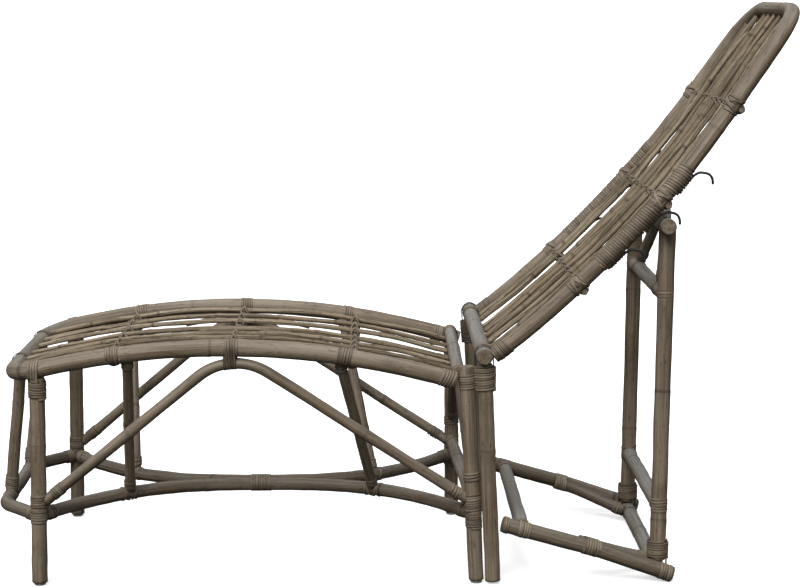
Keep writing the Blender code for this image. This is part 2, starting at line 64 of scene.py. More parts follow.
STRETCHER_R, STRETCHER_Z = 0.0125, 0.134
STRETCHER_MID_X, STRETCHER_POWER = -0.210, 2.8
FRONT_U_X, FRONT_U_HALF, FRONT_U_BEND = -0.697, 0.150, 0.055
STICK_R, FRONT_STICK_R = 0.0098, 0.0115
CROSSBAR_X = (-0.472, -0.2535, -0.0270)
CROSSBAR_R, CROSSBAR_DROP = 0.0110, 0.0120
SEAT_CANE_R = 0.0048
SEAT_CANE_Y = (-0.200, -0.153, -0.104, -0.050, 0.030, 0.091, 0.168)
CANE_R = 0.0055
CANE_Y = {-1: (0.0286, 0.0858, 0.1430, 0.2002), 1: (0.0286, 0.0740, 0.1580, 0.2002)}
POST_HALF, POST_R = 0.2450, 0.0145
POST_TOP, POST_FOOT = (0.2185, 0.4230), (0.2370, 0.0060)
PIVOT, PIVOT_R, PIVOT_HALF = (0.2175, 0.4403), 0.0150, 0.2700
STRAP_R = 0.0015
BASE_HALF, BASE_R = 0.2405, 0.0145
BASE_START, BASE_BEND, BASE_END_X = (0.2550, 0.1140), (0.428, 0.0660), 0.5780
BASE_FRONT_X, BASE_FRONT_R = 0.2935, 0.0135
REAR_BAR, REAR_BAR_R = (0.5540, 0.0185), 0.0145
BRANCH_R, BRANCH_END_HALF = 0.0115, 0.1640
BACK_R = 0.0145
BACK_HALF = ((0.0, 0.2430), (0.36, 0.2430), (0.66, 0.2185), (0.868, 0.2060))
BACK_START = (0.2254, 0.4298)
BACK_SLOPE = (36.81, 45.31, -121.0, 277.9, -203.9)
BACK_LENGTH, BACK_CORNER_R = 0.8640, 0.0950
BACK_BAR_S, BACK_BAR_R = (0.218, 0.437, 0.655), 0.0090
BACK_BAR_HALF = (0.2500, 0.2480, 0.2270)
BAR_REAR = 0.0165
HOOK_R, HOOK_PITCH = 0.0025, 0.0925
PROP_HALF, PROP_R = 0.2110, 0.0145
PROP_TOP_RAIL, PROP_TOP_R, PROP_TOP_HALF = (0.5560, 0.6795), 0.0151, 0.2520
PROP_UPPER_Z, PROP_LOWER_Z, PROP_RAIL_R = 0.5465, 0.1395, 0.0142
PROP_ARCH_FOOT_HALF, PROP_ARCH_RISE = 0.1560, 0.1620
PROP_ARCH_BEND, PROP_ARCH_LEAN = 0.0550, 0.0330
SIDES = (-1, 1)
PEEL_W, PEEL_T = 0.0046, 0.0011


def side_name(sign):
    return "left" if sign < 0 else "right"


def seeded(name):
    return np.random.default_rng(zlib.crc32(name.encode()))


def unit(v):
    v = np.asarray(v, float)
    return v / np.linalg.norm(v)


# ---------------------------------------------------------------- materials
def grow_tree(name):
    mat = bpy.data.materials.new(name)
    mat.use_nodes = True
    tree = mat.node_tree
    return mat, tree, tree.nodes["Principled BSDF"]


class Nodes:
    """Short forms for wiring a shader tree."""

    def __init__(self, tree):
        self.tree = tree

    def new(self, kind, **props):
        node = self.tree.nodes.new(kind)
        for key, value in props.items():
            setattr(node, key, value)
        return node

    def link(self, a, b):
        self.tree.links.new(a, b)

    def attribute(self, name, vector=False):
        node = self.new("ShaderNodeAttribute", attribute_name=name)
        return node.outputs["Vector" if vector else "Fac"]

    def noise(self, vector, stretch, detail=4.0, rough=0.55, distortion=0.0):
        place = self.new("ShaderNodeMapping")
        place.inputs["Scale"].default_value = stretch
        self.link(vector, place.inputs["Vector"])
        node = self.new("ShaderNodeTexNoise")
        node.inputs["Scale"].default_value = 1.0
        node.inputs["Detail"].default_value = detail
        node.inputs["Roughness"].default_value = rough
        node.inputs["Distortion"].default_value = distortion
        self.link(place.outputs["Vector"], node.inputs["Vector"])
        return node.outputs["Fac"]

    def ramp(self, value, *stops):
        node = self.new("ShaderNodeValToRGB")
        band = node.color_ramp
        while len(band.elements) < len(stops):
            band.elements.new(0.5)
        for element, (at, colour) in zip(band.elements, stops):
            element.position = at
            element.color = (*colour, 1.0) if len(colour) == 3 else colour
        self.link(value, node.inputs["Fac"])
        return node.outputs["Color"]

    def fade(self, value, low, high, out_low=0.0, out_high=1.0):
        node = self.new("ShaderNodeMapRange", clamp=True)
        node.inputs["From Min"].default_value = low
        node.inputs["From Max"].default_value = high
        node.inputs["To Min"].default_value = out_low
        node.inputs["To Max"].default_value = out_high
        self.link(value, node.inputs["Value"])
        return node.outputs["Result"]

    def mix(self, factor, a, b, blend="MIX"):
        node = self.new("ShaderNodeMix", data_type="RGBA", blend_type=blend)
        for socket, value in ((node.inputs[0], factor), (node.inputs[6], a), (node.inputs[7], b)):
            if isinstance(value, (int, float)):
                socket.default_value = value
            elif isinstance(value, tuple):
                socket.default_value = (*value, 1.0)
            else:
                self.link(value, socket)
        return node.outputs[2]

    def math(self, operation, a, b=None):
        node = self.new("ShaderNodeMath", operation=operation)
        for socket, value in zip(node.inputs, (a, b)):
            if value is None:
                continue
            if isinstance(value, (int, float)):
                socket.default_value = value
            else:
                self.link(value, socket)
        return node.outputs[0]

    def bump(self, shader, height, strength, distance, after=None):
        node = self.new("ShaderNodeBump")
        node.inputs["Strength"].default_value = strength
        node.inputs["Distance"].default_value = distance
        self.link(height, node.inputs["Height"])
        if after is not None:
            self.link(after, node.inputs["Normal"])
        self.link(node.outputs["Normal"], shader.inputs["Normal"])
        return node.outputs["Normal"]


def rattan_material(name, dark, mid, light, warm, top_light_grey, top_light_amount, speck):
    """Weathered cane: lengthwise streaks, patches, specks, dark growth rings, and a painted top light that turns
    upward faces pale grey.
    """
    mat, tree, shader = grow_tree(name)
    n = Nodes(tree)
    grain = n.attribute("grain", vector=True)
    fine = n.noise(grain, (6.0, 460.0, 460.0), detail=5.0, rough=0.66)
    streak = n.noise(grain, (2.4, 130.0, 130.0), detail=4.0, rough=0.62, distortion=0.3)
    patch = n.noise(grain, (13.0, 40.0, 40.0), detail=4.0, rough=0.6)
    drift = n.noise(grain, (3.4, 12.0, 12.0), detail=2.0, rough=0.5)
    ochre = n.noise(grain, (5.0, 60.0, 60.0), detail=3.0, rough=0.55)
    dash = n.noise(grain, (75.0, 560.0, 560.0), detail=2.0, rough=0.5)
    blot = n.noise(grain, (48.0, 150.0, 150.0), detail=3.0, rough=0.6)
    body = n.math("ADD", n.math("MULTIPLY", streak, 0.56), n.math("MULTIPLY", fine, 0.44))
    colour = n.ramp(body, (0.39, dark), (0.50, mid), (0.61, light))
    colour = n.mix(n.fade(ochre, 0.50, 0.66, 0.0, 0.55), colour, warm)
    colour = n.mix(n.fade(patch, 0.50, 0.68, 0.0, 0.60), colour, dark)
    colour = n.mix(n.fade(drift, 0.48, 0.70, 0.0, 0.50), colour, light)
    tone = n.attribute("tone")
    colour = n.mix(n.fade(tone, 0.0, 1.0, 0.0, 0.34), colour, light)
    colour = n.mix(n.fade(tone, 0.0, -1.0, 0.0, 0.38), colour, dark)
    # painted top light: faces that point up are mixed towards a pale grey, standing in for the light from above
    sky = n.attribute("sky")
    top_light_mask = n.math("MULTIPLY", n.fade(sky, -0.02, 0.95, 0.0, top_light_amount),
                  n.fade(patch, 0.36, 0.66, 1.0, 0.55))
    colour = n.mix(top_light_mask, colour, n.mix(n.fade(body, 0.40, 0.60), tuple(0.66 * c for c in top_light_grey),
                                       tuple(1.16 * c for c in top_light_grey)))
    colour = n.mix(n.fade(blot, 0.60, 0.72, 0.0, 0.55), colour, tuple(0.55 * c for c in dark))
    colour = n.mix(n.fade(dash, speck, speck + 0.06, 0.0, 0.80), colour,
                   tuple(0.34 * c for c in dark))
    knot = n.attribute("knot")
    colour = n.mix(n.math("MULTIPLY", n.fade(knot, 0.25, 0.95), 0.75), colour,
                   tuple(0.36 * c for c in dark))
    # edge darkens the skin near the cut ends; in the canes' split grooves this darkening is painted shade
    edge = n.attribute("edge")
    colour = n.mix(n.math("MULTIPLY", edge, 0.55), colour, tuple(0.42 * c for c in dark))
    n.link(colour, shader.inputs["Base Color"])
    n.link(n.fade(body, 0.34, 0.66, 0.66, 0.48), shader.inputs["Roughness"])
    shader.inputs["Specular IOR Level"].default_value = 0.30
    first = n.bump(shader, body, 0.42, 0.0009)
    n.bump(shader, n.fade(dash, speck, speck + 0.06, 1.0, 0.0), 0.40, 0.0005, after=first)
    return mat


def end_grain_material(name, mid, dark):
    """Cut cane: open pores in a pale core, a darker rind."""
    mat, tree, shader = grow_tree(name)
    n = Nodes(tree)
    grain = n.attribute("grain", vector=True)
    place = n.new("ShaderNodeMapping")
    place.inputs["Scale"].default_value = (1.0, 900.0, 900.0)
    n.link(grain, place.inputs["Vector"])
    pores = n.new("ShaderNodeTexVoronoi")
    pores.inputs["Scale"].default_value = 1.0
    n.link(place.outputs["Vector"], pores.inputs["Vector"])
    stain = n.noise(grain, (1.0, 130.0, 130.0), detail=4.0)
    colour = n.ramp(stain, (0.34, dark), (0.62, mid))
    hole = n.fade(pores.outputs["Distance"], 0.18, 0.34, 1.0, 0.0)
    colour = n.mix(n.math("MULTIPLY", hole, 0.75), colour, tuple(0.30 * c for c in dark))
    rind = n.attribute("edge")
    colour = n.mix(n.fade(rind, 0.55, 0.95, 0.0, 0.8), colour, tuple(0.55 * c for c in dark))
    n.link(colour, shader.inputs["Base Color"])
    n.link(n.fade(stain, 0.3, 0.7, 0.85, 0.70), shader.inputs["Roughness"])
    shader.inputs["Specular IOR Level"].default_value = 0.2
    n.bump(shader, n.math("SUBTRACT", 1.0, hole), 0.5, 0.0005)
    return mat


def peel_material(name, dark, mid, light):
    """Rattan peel: a shiny-skinned split strip, streaked along its length, with a painted highlight on its top and
    painted shade along its sides and underside.
    """
    mat, tree, shader = grow_tree(name)
    n = Nodes(tree)
    grain = n.attribute("grain", vector=True)
    fine = n.noise(grain, (16.0, 900.0, 900.0), detail=4.0, rough=0.6)
    patch = n.noise(grain, (24.0, 120.0, 120.0), detail=3.0)
    colour = n.ramp(fine, (0.33, dark), (0.50, mid), (0.68, light))
    colour = n.mix(n.fade(patch, 0.46, 0.68, 0.0, 0.65), colour, dark)
    tone = n.attribute("tone")
    colour = n.mix(n.fade(tone, 0.0, 1.0, 0.0, 0.75), colour, light)
    colour = n.mix(n.fade(tone, 0.0, -1.0, 0.0, 0.70), colour, dark)
    # painted highlight: the upward-facing side of each strip is mixed towards the light colour
    sky = n.attribute("sky")
    colour = n.mix(n.fade(sky, 0.0, 1.0, 0.0, 0.35), colour, tuple(1.05 * c for c in light))
    # painted shade: the sides and underside of each strip are darkened, standing in for the shade in the gaps
    # between turns
    edge = n.attribute("edge")
    colour = n.mix(n.math("MULTIPLY", edge, 0.75), colour, tuple(0.35 * c for c in dark))
    n.link(colour, shader.inputs["Base Color"])
    n.link(n.fade(fine, 0.30, 0.70, 0.62, 0.44), shader.inputs["Roughness"])
    shader.inputs["Specular IOR Level"].default_value = 0.36
    n.bump(shader, fine, 0.30, 0.0004)
    return mat


def metal_material(name, dark, light, rough, metallic):
    """Drawn steel with fine scratches, dull patches and specks of wear."""
    mat, tree, shader = grow_tree(name)
    n = Nodes(tree)
    grain = n.attribute("grain", vector=True)
    scratch = n.noise(grain, (40.0, 1500.0, 1500.0), detail=4.0)
    patch = n.noise(grain, (90.0, 160.0, 160.0), detail=4.0, rough=0.6)
    colour = n.ramp(patch, (0.36, dark), (0.66, light))
    colour = n.mix(n.fade(scratch, 0.62, 0.76, 0.0, 0.35), colour, tuple(1.6 * c for c in light))
    n.link(colour, shader.inputs["Base Color"])
    n.link(n.fade(patch, 0.3, 0.7, rough + 0.12, rough - 0.10), shader.inputs["Roughness"])
    shader.inputs["Metallic"].default_value = metallic
    n.bump(shader, scratch, 0.18, 0.0002)
    return mat


def glide_material():
    """Off-white plastic with dirt patches, scuffed; darker towards the floor, with painted shade in the groove
    round its side.
    """
    mat, tree, shader = grow_tree("glide_plastic")
    n = Nodes(tree)
    grain = n.attribute("grain", vector=True)
    dirt = n.noise(grain, (260.0, 260.0, 260.0), detail=5.0, rough=0.6)
    scuff = n.noise(grain, (1500.0, 240.0, 240.0), detail=3.0)
    colour = n.ramp(dirt, (0.34, (0.36, 0.35, 0.32)), (0.56, (0.58, 0.58, 0.56)),
                    (0.74, (0.66, 0.66, 0.64)))
    # edge: darker towards the floor, and painted shade in the groove round the side
    colour = n.mix(n.math("MULTIPLY", n.attribute("edge"), 0.45), colour, (0.22, 0.20, 0.17))
    n.link(colour, shader.inputs["Base Color"])
    n.link(n.fade(scuff, 0.35, 0.7, 0.62, 0.40), shader.inputs["Roughness"])
    n.bump(shader, scuff, 0.2, 0.0002)
    return mat


DARK, MIDTONE, LIGHT = (0.088, 0.064, 0.041), (0.192, 0.148, 0.100), (0.306, 0.254, 0.190)
WARM = (0.205, 0.140, 0.076)
# The fifth colour given to each rattan material is the pale grey of its painted top light; the number after it
# sets how strongly that light is painted.
RATTAN = rattan_material("rattan_weathered", DARK, MIDTONE, LIGHT, WARM, (0.264, 0.248, 0.224), 0.76, 0.655)
# A darker copy of the rattan for the stretchers, base rails and branches low under the seat: painted shade.
SHADED = rattan_material("rattan_shaded", (0.066, 0.048, 0.031), (0.146, 0.113, 0.077), (0.236, 0.196, 0.147),
                         (0.156, 0.107, 0.059), (0.208, 0.195, 0.176), 0.76, 0.655)
# A paler rattan for the cross rails; its top light is painted more strongly than on the other poles.
PALE = rattan_material("rattan_bleached", (0.124, 0.102, 0.076), (0.226, 0.194, 0.151),
                       (0.300, 0.268, 0.222), (0.206, 0.161, 0.107), (0.262, 0.255, 0.240), 0.88, 0.665)
CANE = rattan_material("cane_split", (0.100, 0.071, 0.040), (0.232, 0.178, 0.112),
                       (0.398, 0.332, 0.234), (0.262, 0.182, 0.095), (0.345, 0.308, 0.242), 0.58, 0.615)
END = end_grain_material("rattan_cut_end", (0.270, 0.222, 0.166), (0.135, 0.104, 0.072))
PEEL = peel_material("rattan_peel", (0.070, 0.051, 0.033), (0.182, 0.140, 0.096),
                     (0.335, 0.278, 0.206))
BLACK = metal_material("hook_black_steel", (0.010, 0.010, 0.011), (0.032, 0.031, 0.031), 0.44, 0.0)
STEEL = metal_material("strap_steel_wire", (0.085, 0.082, 0.078), (0.215, 0.210, 0.204), 0.46, 1.0)
GLIDE = glide_material()


# ---------------------------------------------------------------- mesh tools
def resample(points, step):
    p = np.asarray(points, float)
    gap = np.linalg.norm(np.diff(p, axis=0), axis=1)
    p = p[np.concatenate(([True], gap > 1e-7))]
    s = np.concatenate(([0.0], np.cumsum(np.linalg.norm(np.diff(p, axis=0), axis=1))))
    count = max(3, int(round(s[-1] / step)) + 1)
    at = np.linspace(0.0, s[-1], count)
    return np.stack([np.interp(at, s, p[:, k]) for k in range(3)], 1), at


def frames_along(p):
    """Tangents and two carried-along normals of a path."""
    t = np.gradient(p, axis=0)
    t /= np.linalg.norm(t, axis=1)[:, None]
    ref = np.array((0.0, 0.0, 1.0)) if abs(t[0][2]) < 0.8 else np.array((1.0, 0.0, 0.0))
    a = np.zeros_like(p)
    a[0] = unit(np.cross(np.cross(t[0], ref), t[0]))
    for i in range(1, len(p)):
        v = a[i - 1] - t[i] * np.dot(a[i - 1], t[i])
        a[i] = v / np.linalg.norm(v)
    return t, a, np.cross(t, a)


def make_mesh(name, verts, faces, materials, face_material=None, floats=None, vectors=None):
    mesh = bpy.data.meshes.new(name)
    mesh.from_pydata(np.asarray(verts).tolist(), [], faces)
    for mat in materials:
        mesh.materials.append(mat)
    if face_material is not None:
        mesh.polygons.foreach_set("material_index", np.asarray(face_material, dtype=np.int32))
    for key, values in (floats or {}).items():
        layer = mesh.attributes.new(key, "FLOAT", "POINT")
        layer.data.foreach_set("value", np.asarray(values, dtype=np.float32))
    for key, values in (vectors or {}).items():
        layer = mesh.attributes.new(key, "FLOAT_VECTOR", "POINT")
        layer.data.foreach_set("vector", np.asarray(values, dtype=np.float32).ravel())
    mesh.polygons.foreach_set("use_smooth", np.ones(len(mesh.polygons), dtype=bool))
    mesh.update()
    obj = bpy.data.objects.new(name, mesh)
    bpy.context.scene.collection.objects.link(obj)
    return obj


def sweep_rings(p, t, a, b, radii, seg, start, out_of_round=None):
    """Vertices and quads of a tube; radii is one value per ring."""
    ang = np.arange(seg) * (2.0 * math.pi / seg)
    ca, sa = np.cos(ang), np.sin(ang)
    r = np.asarray(radii)[:, None] * np.ones(seg)[None, :]
    if out_of_round is not None:
        r = r * (1.0 + out_of_round(ang))
    v = p[:, None, :] + r[:, :, None] * (a[:, None, :] * ca[None, :, None]
                                         + b[:, None, :] * sa[None, :, None])
    rings = len(p)
    i = np.arange(rings - 1)[:, None] * seg
    j = np.arange(seg)[None, :]
    k = (j + 1) % seg
    quads = np.stack([i + j, i + k, i + seg + k, i + seg + j], 2).reshape(-1, 4) + start
    return v.reshape(-1, 3), quads


POLES = {}


class Pole:
    """A cane along a path: its centre line, frames and radius, for the bindings to follow."""

    def __init__(self, name, points, radius, step=0.0045):
        self.name = name
        shifted = [(x - MID, y, z) for x, y, z in (tuple(q) for q in points)]
        self.p, self.s = resample(shifted, step)
        self.r = radius
        self.t, self.a, self.b = frames_along(self.p)
        self.length = self.s[-1]
        POLES[name] = self

    def at(self, s):
        s = np.clip(s, 0.0, self.length)
        pick = lambda arr: np.stack([np.interp(s, self.s, arr[:, k]) for k in range(3)], -1)
        return pick(self.p), pick(self.t), pick(self.a), pick(self.b)

    def near(self, x, y, z):
        """Length along the pole nearest to a datum-frame point."""
        q = np.array((x - MID, y, z))
        coarse = self.s[int(np.argmin(np.linalg.norm(self.p - q, axis=1)))]
        fine = np.clip(coarse + np.linspace(-0.006, 0.006, 61), 0.0, self.length)
        return float(fine[int(np.argmin(np.linalg.norm(self.at(fine)[0] - q, axis=1)))])


def cane_mesh(pole, seg=28, ring_gap=(0.22, 0.40), ring_height=0.00045, wobble=0.0004,
              rough=0.00016, grow=(0.0, 0.0), tone=None, splits=0, step=0.0045, face=None, girth=None):
    """Arrays of a cane with growth rings, uneven girth and chamfered cut ends."""
    rng = seeded(pole.name)
    p, s = pole.p.copy(), pole.s.copy()
    if grow[0]:
        p = np.vstack([p[0] - pole.t[0] * grow[0], p])
    if grow[1]:
        p = np.vstack([p, p[-1] + pole.t[-1] * grow[1]])
    p, s = resample(p, step)
    t, a, b = frames_along(p)
    length = s[-1]
    radius = np.full(len(s), pole.r)
    if girth is not None:
        radius = radius * girth(s / length)
    for _ in range(4):
        wave = rng.uniform(0.03, 0.22)
        radius += rough * rng.uniform(0.4, 1.0) * np.sin(2 * math.pi * (s / wave + rng.uniform()))
    knot = np.zeros(len(s))
    at = rng.uniform(0.04, ring_gap[1])
    while at < length - 0.02:
        d = s - at
        radius += ring_height * (np.exp(-(d / 0.0042) ** 2) - 0.6 * np.exp(-((d + 0.0085) / 0.0045) ** 2)
                                 + 0.5 * np.exp(-(d / 0.016) ** 2))
        knot = np.maximum(knot, rng.uniform(0.45, 1.0) * np.exp(-((d + 0.004) / 0.0040) ** 2))
        at += rng.uniform(*ring_gap)
    ends = np.clip(np.minimum(s, length - s) / 0.03, 0.0, 1.0)
    for axis in (a, b):
        sway = np.zeros(len(s))
        for _ in range(3):
            sway += np.sin(2 * math.pi * (s / rng.uniform(0.10, 0.34) + rng.uniform())) / 3.0
        p = p + axis * (sway * wobble * ends)[:, None]
    oval, turn = rng.uniform(0.004, 0.012), rng.uniform(0.0, 2 * math.pi)
    rings = len(s)
    ang = np.arange(seg) * (2.0 * math.pi / seg)
    cleft = np.zeros((rings, seg))
    for k in range(splits):
        top = 0.0 if face is None else math.atan2(np.dot(b[0], face), np.dot(a[0], face))
        line = top + (k - (splits - 1) / 2.0) * 1.15 + rng.uniform(-0.25, 0.25)
        line = line + 0.55 * np.sin(2 * math.pi * (s / rng.uniform(0.25, 0.6) + rng.uniform()))
        line = line + 0.16 * np.sin(2 * math.pi * (s / rng.uniform(0.06, 0.14) + rng.uniform()))
        open_ = np.clip(0.62 + 1.1 * np.sin(2 * math.pi * (s / rng.uniform(0.12, 0.34) + rng.uniform())), 0.0, 1.0)
        away = (ang[None, :] - line[:, None] + math.pi) % (2.0 * math.pi) - math.pi
        cleft = np.maximum(cleft, open_[:, None] * np.exp(-(away / 0.21) ** 2))
    depth = 0.20
    verts, quads = sweep_rings(p, t, a, b, radius, seg, 0,
                               lambda ang: oval * np.cos(2 * ang + turn)[None, :] - depth * cleft)
    shift = rng.uniform(0.0, 60.0)
    grain = np.stack([np.repeat(s + shift, seg), np.tile(np.cos(ang), rings) * pole.r,
                      np.tile(np.sin(ang), rings) * pole.r], 1)
    normal = (a[:, None, :] * np.cos(ang)[None, :, None]
              + b[:, None, :] * np.sin(ang)[None, :, None]).reshape(-1, 3)
    # sky: how far each face points up, weaker on poles running lengthwise; the materials use it to paint the top
    # light
    sky = normal[:, 2] * np.repeat(0.42 + 0.58 * np.abs(t[:, 1]), seg)
    knot = np.repeat(knot, seg)
    edge = np.repeat(np.exp(-np.minimum(s, length - s) / 0.0022) * 0.8, seg)
    # The split grooves are darkened through edge as well: painted shade in the grooves.
    edge = np.maximum(edge, 1.5 * cleft.ravel())
    faces = quads.tolist()
    which = [0] * len(faces)
    verts, grain = [verts], [grain]
    sky, knot, edge = [sky], [knot], [edge]
    count = rings * seg
    chamfer = min(0.0012, pole.r * 0.14)
    for end in (0, 1):
        ring0 = 0 if end == 0 else (rings - 1) * seg
        centre, out = (p[0], -t[0]) if end == 0 else (p[-1], t[-1])
        ua, ub = (a[0], b[0]) if end == 0 else (a[-1], b[-1])
        last = ring0
        for k, (scale, push, rind) in enumerate(((1.0 - chamfer / pole.r, chamfer * 0.7, 1.0),
                                                 (0.80, chamfer * 0.85, 0.5),
                                                 (0.42, chamfer * 0.75, 0.0))):
            r = radius[0 if end == 0 else -1] * scale
            ringv = centre + out * push + r * (ua * np.cos(ang)[:, None] + ub * np.sin(ang)[:, None])
            verts.append(ringv)
            grain.append(np.stack([np.full(seg, shift + end), r * np.cos(ang), r * np.sin(ang)], 1))
            sky.append(np.full(seg, out[2]))
            knot.append(np.zeros(seg))
            edge.append(np.full(seg, rind))
            for j in range(seg):
                m = (j + 1) % seg
                quad = [last + j, last + m, count + m, count + j]
                faces.append(quad if end == 1 else quad[::-1])
                which.append(0 if k == 0 else 1)
            last = count
            count += seg
        verts.append((centre + out * chamfer * 0.6)[None, :])
        grain.append(np.array([[shift + end, 0.0, 0.0]]))
        sky.append(np.array([out[2]]))
        knot.append(np.zeros(1))
        edge.append(np.zeros(1))
        for j in range(seg):
            m = (j + 1) % seg
            tri = [last + j, last + m, count]
            faces.append(tri if end == 1 else tri[::-1])
            which.append(1)
        count += 1
    verts = np.vstack(verts)
    tones = np.full(len(verts), rng.uniform(-0.8, 0.8) if tone is None else tone)
    return (verts, faces, which, np.vstack(grain), np.concatenate(sky), np.concatenate(knot),
            np.concatenate(edge), tones)


def join_arrays(parts):
    verts, faces, which = [], [], []
    grain, sky, knot, edge, tone = [], [], [], [], []
    base = 0
    for v, f, w, g, sk, kn, ed, to in parts:
        verts.append(v)
        faces += [[i + base for i in face] for face in f]
        which += w
        grain.append(g); sky.append(sk); knot.append(kn); edge.append(ed); tone.append(to)
        base += len(v)
    return (np.vstack(verts), faces, which, np.vstack(grain), np.concatenate(sky),
            np.concatenate(knot), np.concatenate(edge), np.concatenate(tone))


def piece(name, arrays, body, materials, nodes=()):
    v, f, w, g, sk, kn, ed, to = arrays
    obj = make_mesh(name, v, f, materials, w,
                    {"sky": sk, "knot": kn, "edge": ed, "tone": to}, {"grain": g})
    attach(obj, body)
    if nodes:
        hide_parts(*nodes)
    return obj


def add_pole(name, points, radius, body, skin=None, slot="rattan", **shape):
    pole = Pole(name, points, radius)
    piece(name + "_cane", cane_mesh(pole, **shape), body, [skin or RATTAN, END], (name,))
    return pole


# ---------------------------------------------------------------- shared shapes
def meet(axis_point, direction, own_r, other_dir, other_r):
    d = Vector(direction).normalized()
    lean = abs(d.dot(Vector(other_dir).normalized()))
    run = (other_r + 0.0004 + own_r * lean) / math.sqrt(1.0 - lean * lean)
    return Vector(axis_point) - d * run


def fillet(points, radius, steps):
    points = [Vector(q) for q in points]
    path = [points[0]]
    for before, corner, after in zip(points, points[1:], points[2:]):
        a = (before - corner).normalized()
        b = (after - corner).normalized()
        half = math.acos(max(-1.0, min(1.0, a.dot(b)))) / 2.0
        reach = radius / math.tan(half)
        centre = corner + (a + b).normalized() * (radius / math.sin(half))
        p0 = corner + a * reach - centre
        p1 = corner + b * reach - centre
        sweep = math.acos(max(-1.0, min(1.0, p0.dot(p1) / (radius * radius))))
        for i in range(steps + 1):
            u = i / steps
            path.append(centre + p0 * (math.sin((1.0 - u) * sweep) / math.sin(sweep))
                        + p1 * (math.sin(u * sweep) / math.sin(sweep)))
    path.append(points[-1])
    return path


def seat_z(x):
    return 0.4535 - 0.335 * (x + 0.270) ** 2


def rear_leg_x(z, sign):
    top, foot = REAR_LEG_TOP[sign], REAR_LEG_FOOT[sign]
    return foot[0] + (top[0] - foot[0]) * (z - foot[1]) / (top[1] - foot[1])


def stretcher_y(x, sign):
    span = FRONT_LEG_X - STRETCHER_MID_X if x < STRETCHER_MID_X else \
        rear_leg_x(STRETCHER_Z, sign) - STRETCHER_MID_X
    near = STRETCHER_R + 0.0004
    return near + (SEAT_HALF - near) * abs((x - STRETCHER_MID_X) / span) ** STRETCHER_POWER


def base_rail_z(x):
    slope = (BASE_BEND[1] - 0.0141) / (BASE_END_X - BASE_BEND[0])
    end_z = BASE_R * math.cos(math.atan(slope)) + 0.0004
    if x < BASE_BEND[0]:
        u = (x - BASE_START[0]) / (BASE_BEND[0] - BASE_START[0])
        return BASE_START[1] + (BASE_BEND[1] - BASE_START[1]) * u
    u = (x - BASE_BEND[0]) / (BASE_END_X - BASE_BEND[0])
    return BASE_BEND[1] + (end_z - BASE_BEND[1]) * u


def back_slope(s):
    return math.radians(sum(c * s ** k for k, c in enumerate(BACK_SLOPE)))


def back_frame(s):
    x, z = BACK_START
    step = s / 48.0
    for i in range(48):
        a = back_slope((i + 0.5) * step)
        x += step * math.cos(a)
        z += step * math.sin(a)
    a = back_slope(s)
    return (Vector((x, 0.0, z)), Vector((math.cos(a), 0.0, math.sin(a))),
            Vector((math.sin(a), 0.0, -math.cos(a))))


def back_point(s, y, rear=0.0):
    p, along, normal = back_frame(s)
    q = p + normal * rear
    return (q.x, y, q.z)


def back_half(s):
    for (s0, h0), (s1, h1) in zip(BACK_HALF, BACK_HALF[1:]):
        if s <= s1:
            break
    u = max(0.0, min(1.0, (s - s0) / (s1 - s0)))
    return h0 + (h1 - h0) * u * u * (3.0 - 2.0 * u)


def prop_x(z):
    u = (z - REAR_BAR[1]) / (PROP_TOP_RAIL[1] - REAR_BAR[1])
    return REAR_BAR[0] + (0.5600 - REAR_BAR[0]) * u


# ---------------------------------------------------------------- bench poles
def seat_side(sign):
    corner_x, corner_y = SEAT_FRONT_X + SEAT_CORNER_R, SEAT_HALF - SEAT_CORNER_R
    rear_x = SEAT_REAR_X[sign]
    run = [(rear_x + (corner_x - rear_x) * i / 60.0, sign * SEAT_HALF) for i in range(61)]
    for i in range(1, 25):
        a = math.radians(90.0 * i / 24.0)
        run.append((corner_x - SEAT_CORNER_R * math.sin(a),
                    sign * (corner_y + SEAT_CORNER_R * math.cos(a))))
    return run


seat_plan = seat_side(-1) + list(reversed(seat_side(1)))
SEAT = add_pole("seat_frame", [(x, y, seat_z(x)) for x, y in seat_plan], SEAT_R, "bench",
                seg=32, tone=0.05)
rail_in = SEAT_HALF - SEAT_R - 0.0004
add_pole("seat_rear_rail", [(REAR_RAIL_X[k], k * (rail_in - 0.0006), REAR_RAIL_Z) for k in SIDES],
         REAR_RAIL_R, "bench", skin=PALE, grow=(0.004, 0.004))

leg_foot_z = GLIDE_H + 0.0004
front_leg_top = seat_z(FRONT_LEG_X - LEG_R) - SEAT_R * 1.03 - 0.0004
for sign in SIDES:
    y = sign * SEAT_HALF
    side = side_name(sign)
    add_pole("leg_front_" + side, [(FRONT_LEG_X + FRONT_LEG_LEAN, y, front_leg_top),
                                   (FRONT_LEG_X - FRONT_LEG_LEAN, y, leg_foot_z)],
             LEG_R, "bench", grow=(0.004, 0.0), tone=-0.30)
    add_pole("leg_rear_" + side, [(REAR_LEG_TOP[sign][0], y, REAR_LEG_TOP[sign][1]),
                                  (REAR_LEG_FOOT[sign][0], y, leg_foot_z + 0.0008)],
             LEG_R, "bench", tone=-0.25)
    peak = Vector((ARCH_PEAK[sign][0], y, ARCH_PEAK[sign][1]))
    aim_front = Vector((FRONT_LEG_X, y, 0.1525))
    aim_rear = Vector((rear_leg_x(0.1560, sign), y, 0.1560))
    add_pole("side_arch_" + side,
             fillet([meet(aim_front, aim_front - peak, ARCH_R, (0, 0, 1), LEG_R), peak,
                     meet(aim_rear, aim_rear - peak, ARCH_R, (0, 0, 1), LEG_R + 0.0006)],
                    ARCH_BEND_R, 30), ARCH_R, "bench", seg=24, grow=(0.013, 0.013), tone=-0.6)
    x0, x1 = FRONT_LEG_X + 0.0112, rear_leg_x(STRETCHER_Z, sign) - 0.0112
    add_pole("side_stretcher_" + side,
             [(x, sign * stretcher_y(x, sign), STRETCHER_Z) for x in np.linspace(x0, x1, 120)],
             STRETCHER_R, "bench", seg=24, grow=(0.006, 0.006), tone=-0.3, skin=SHADED)

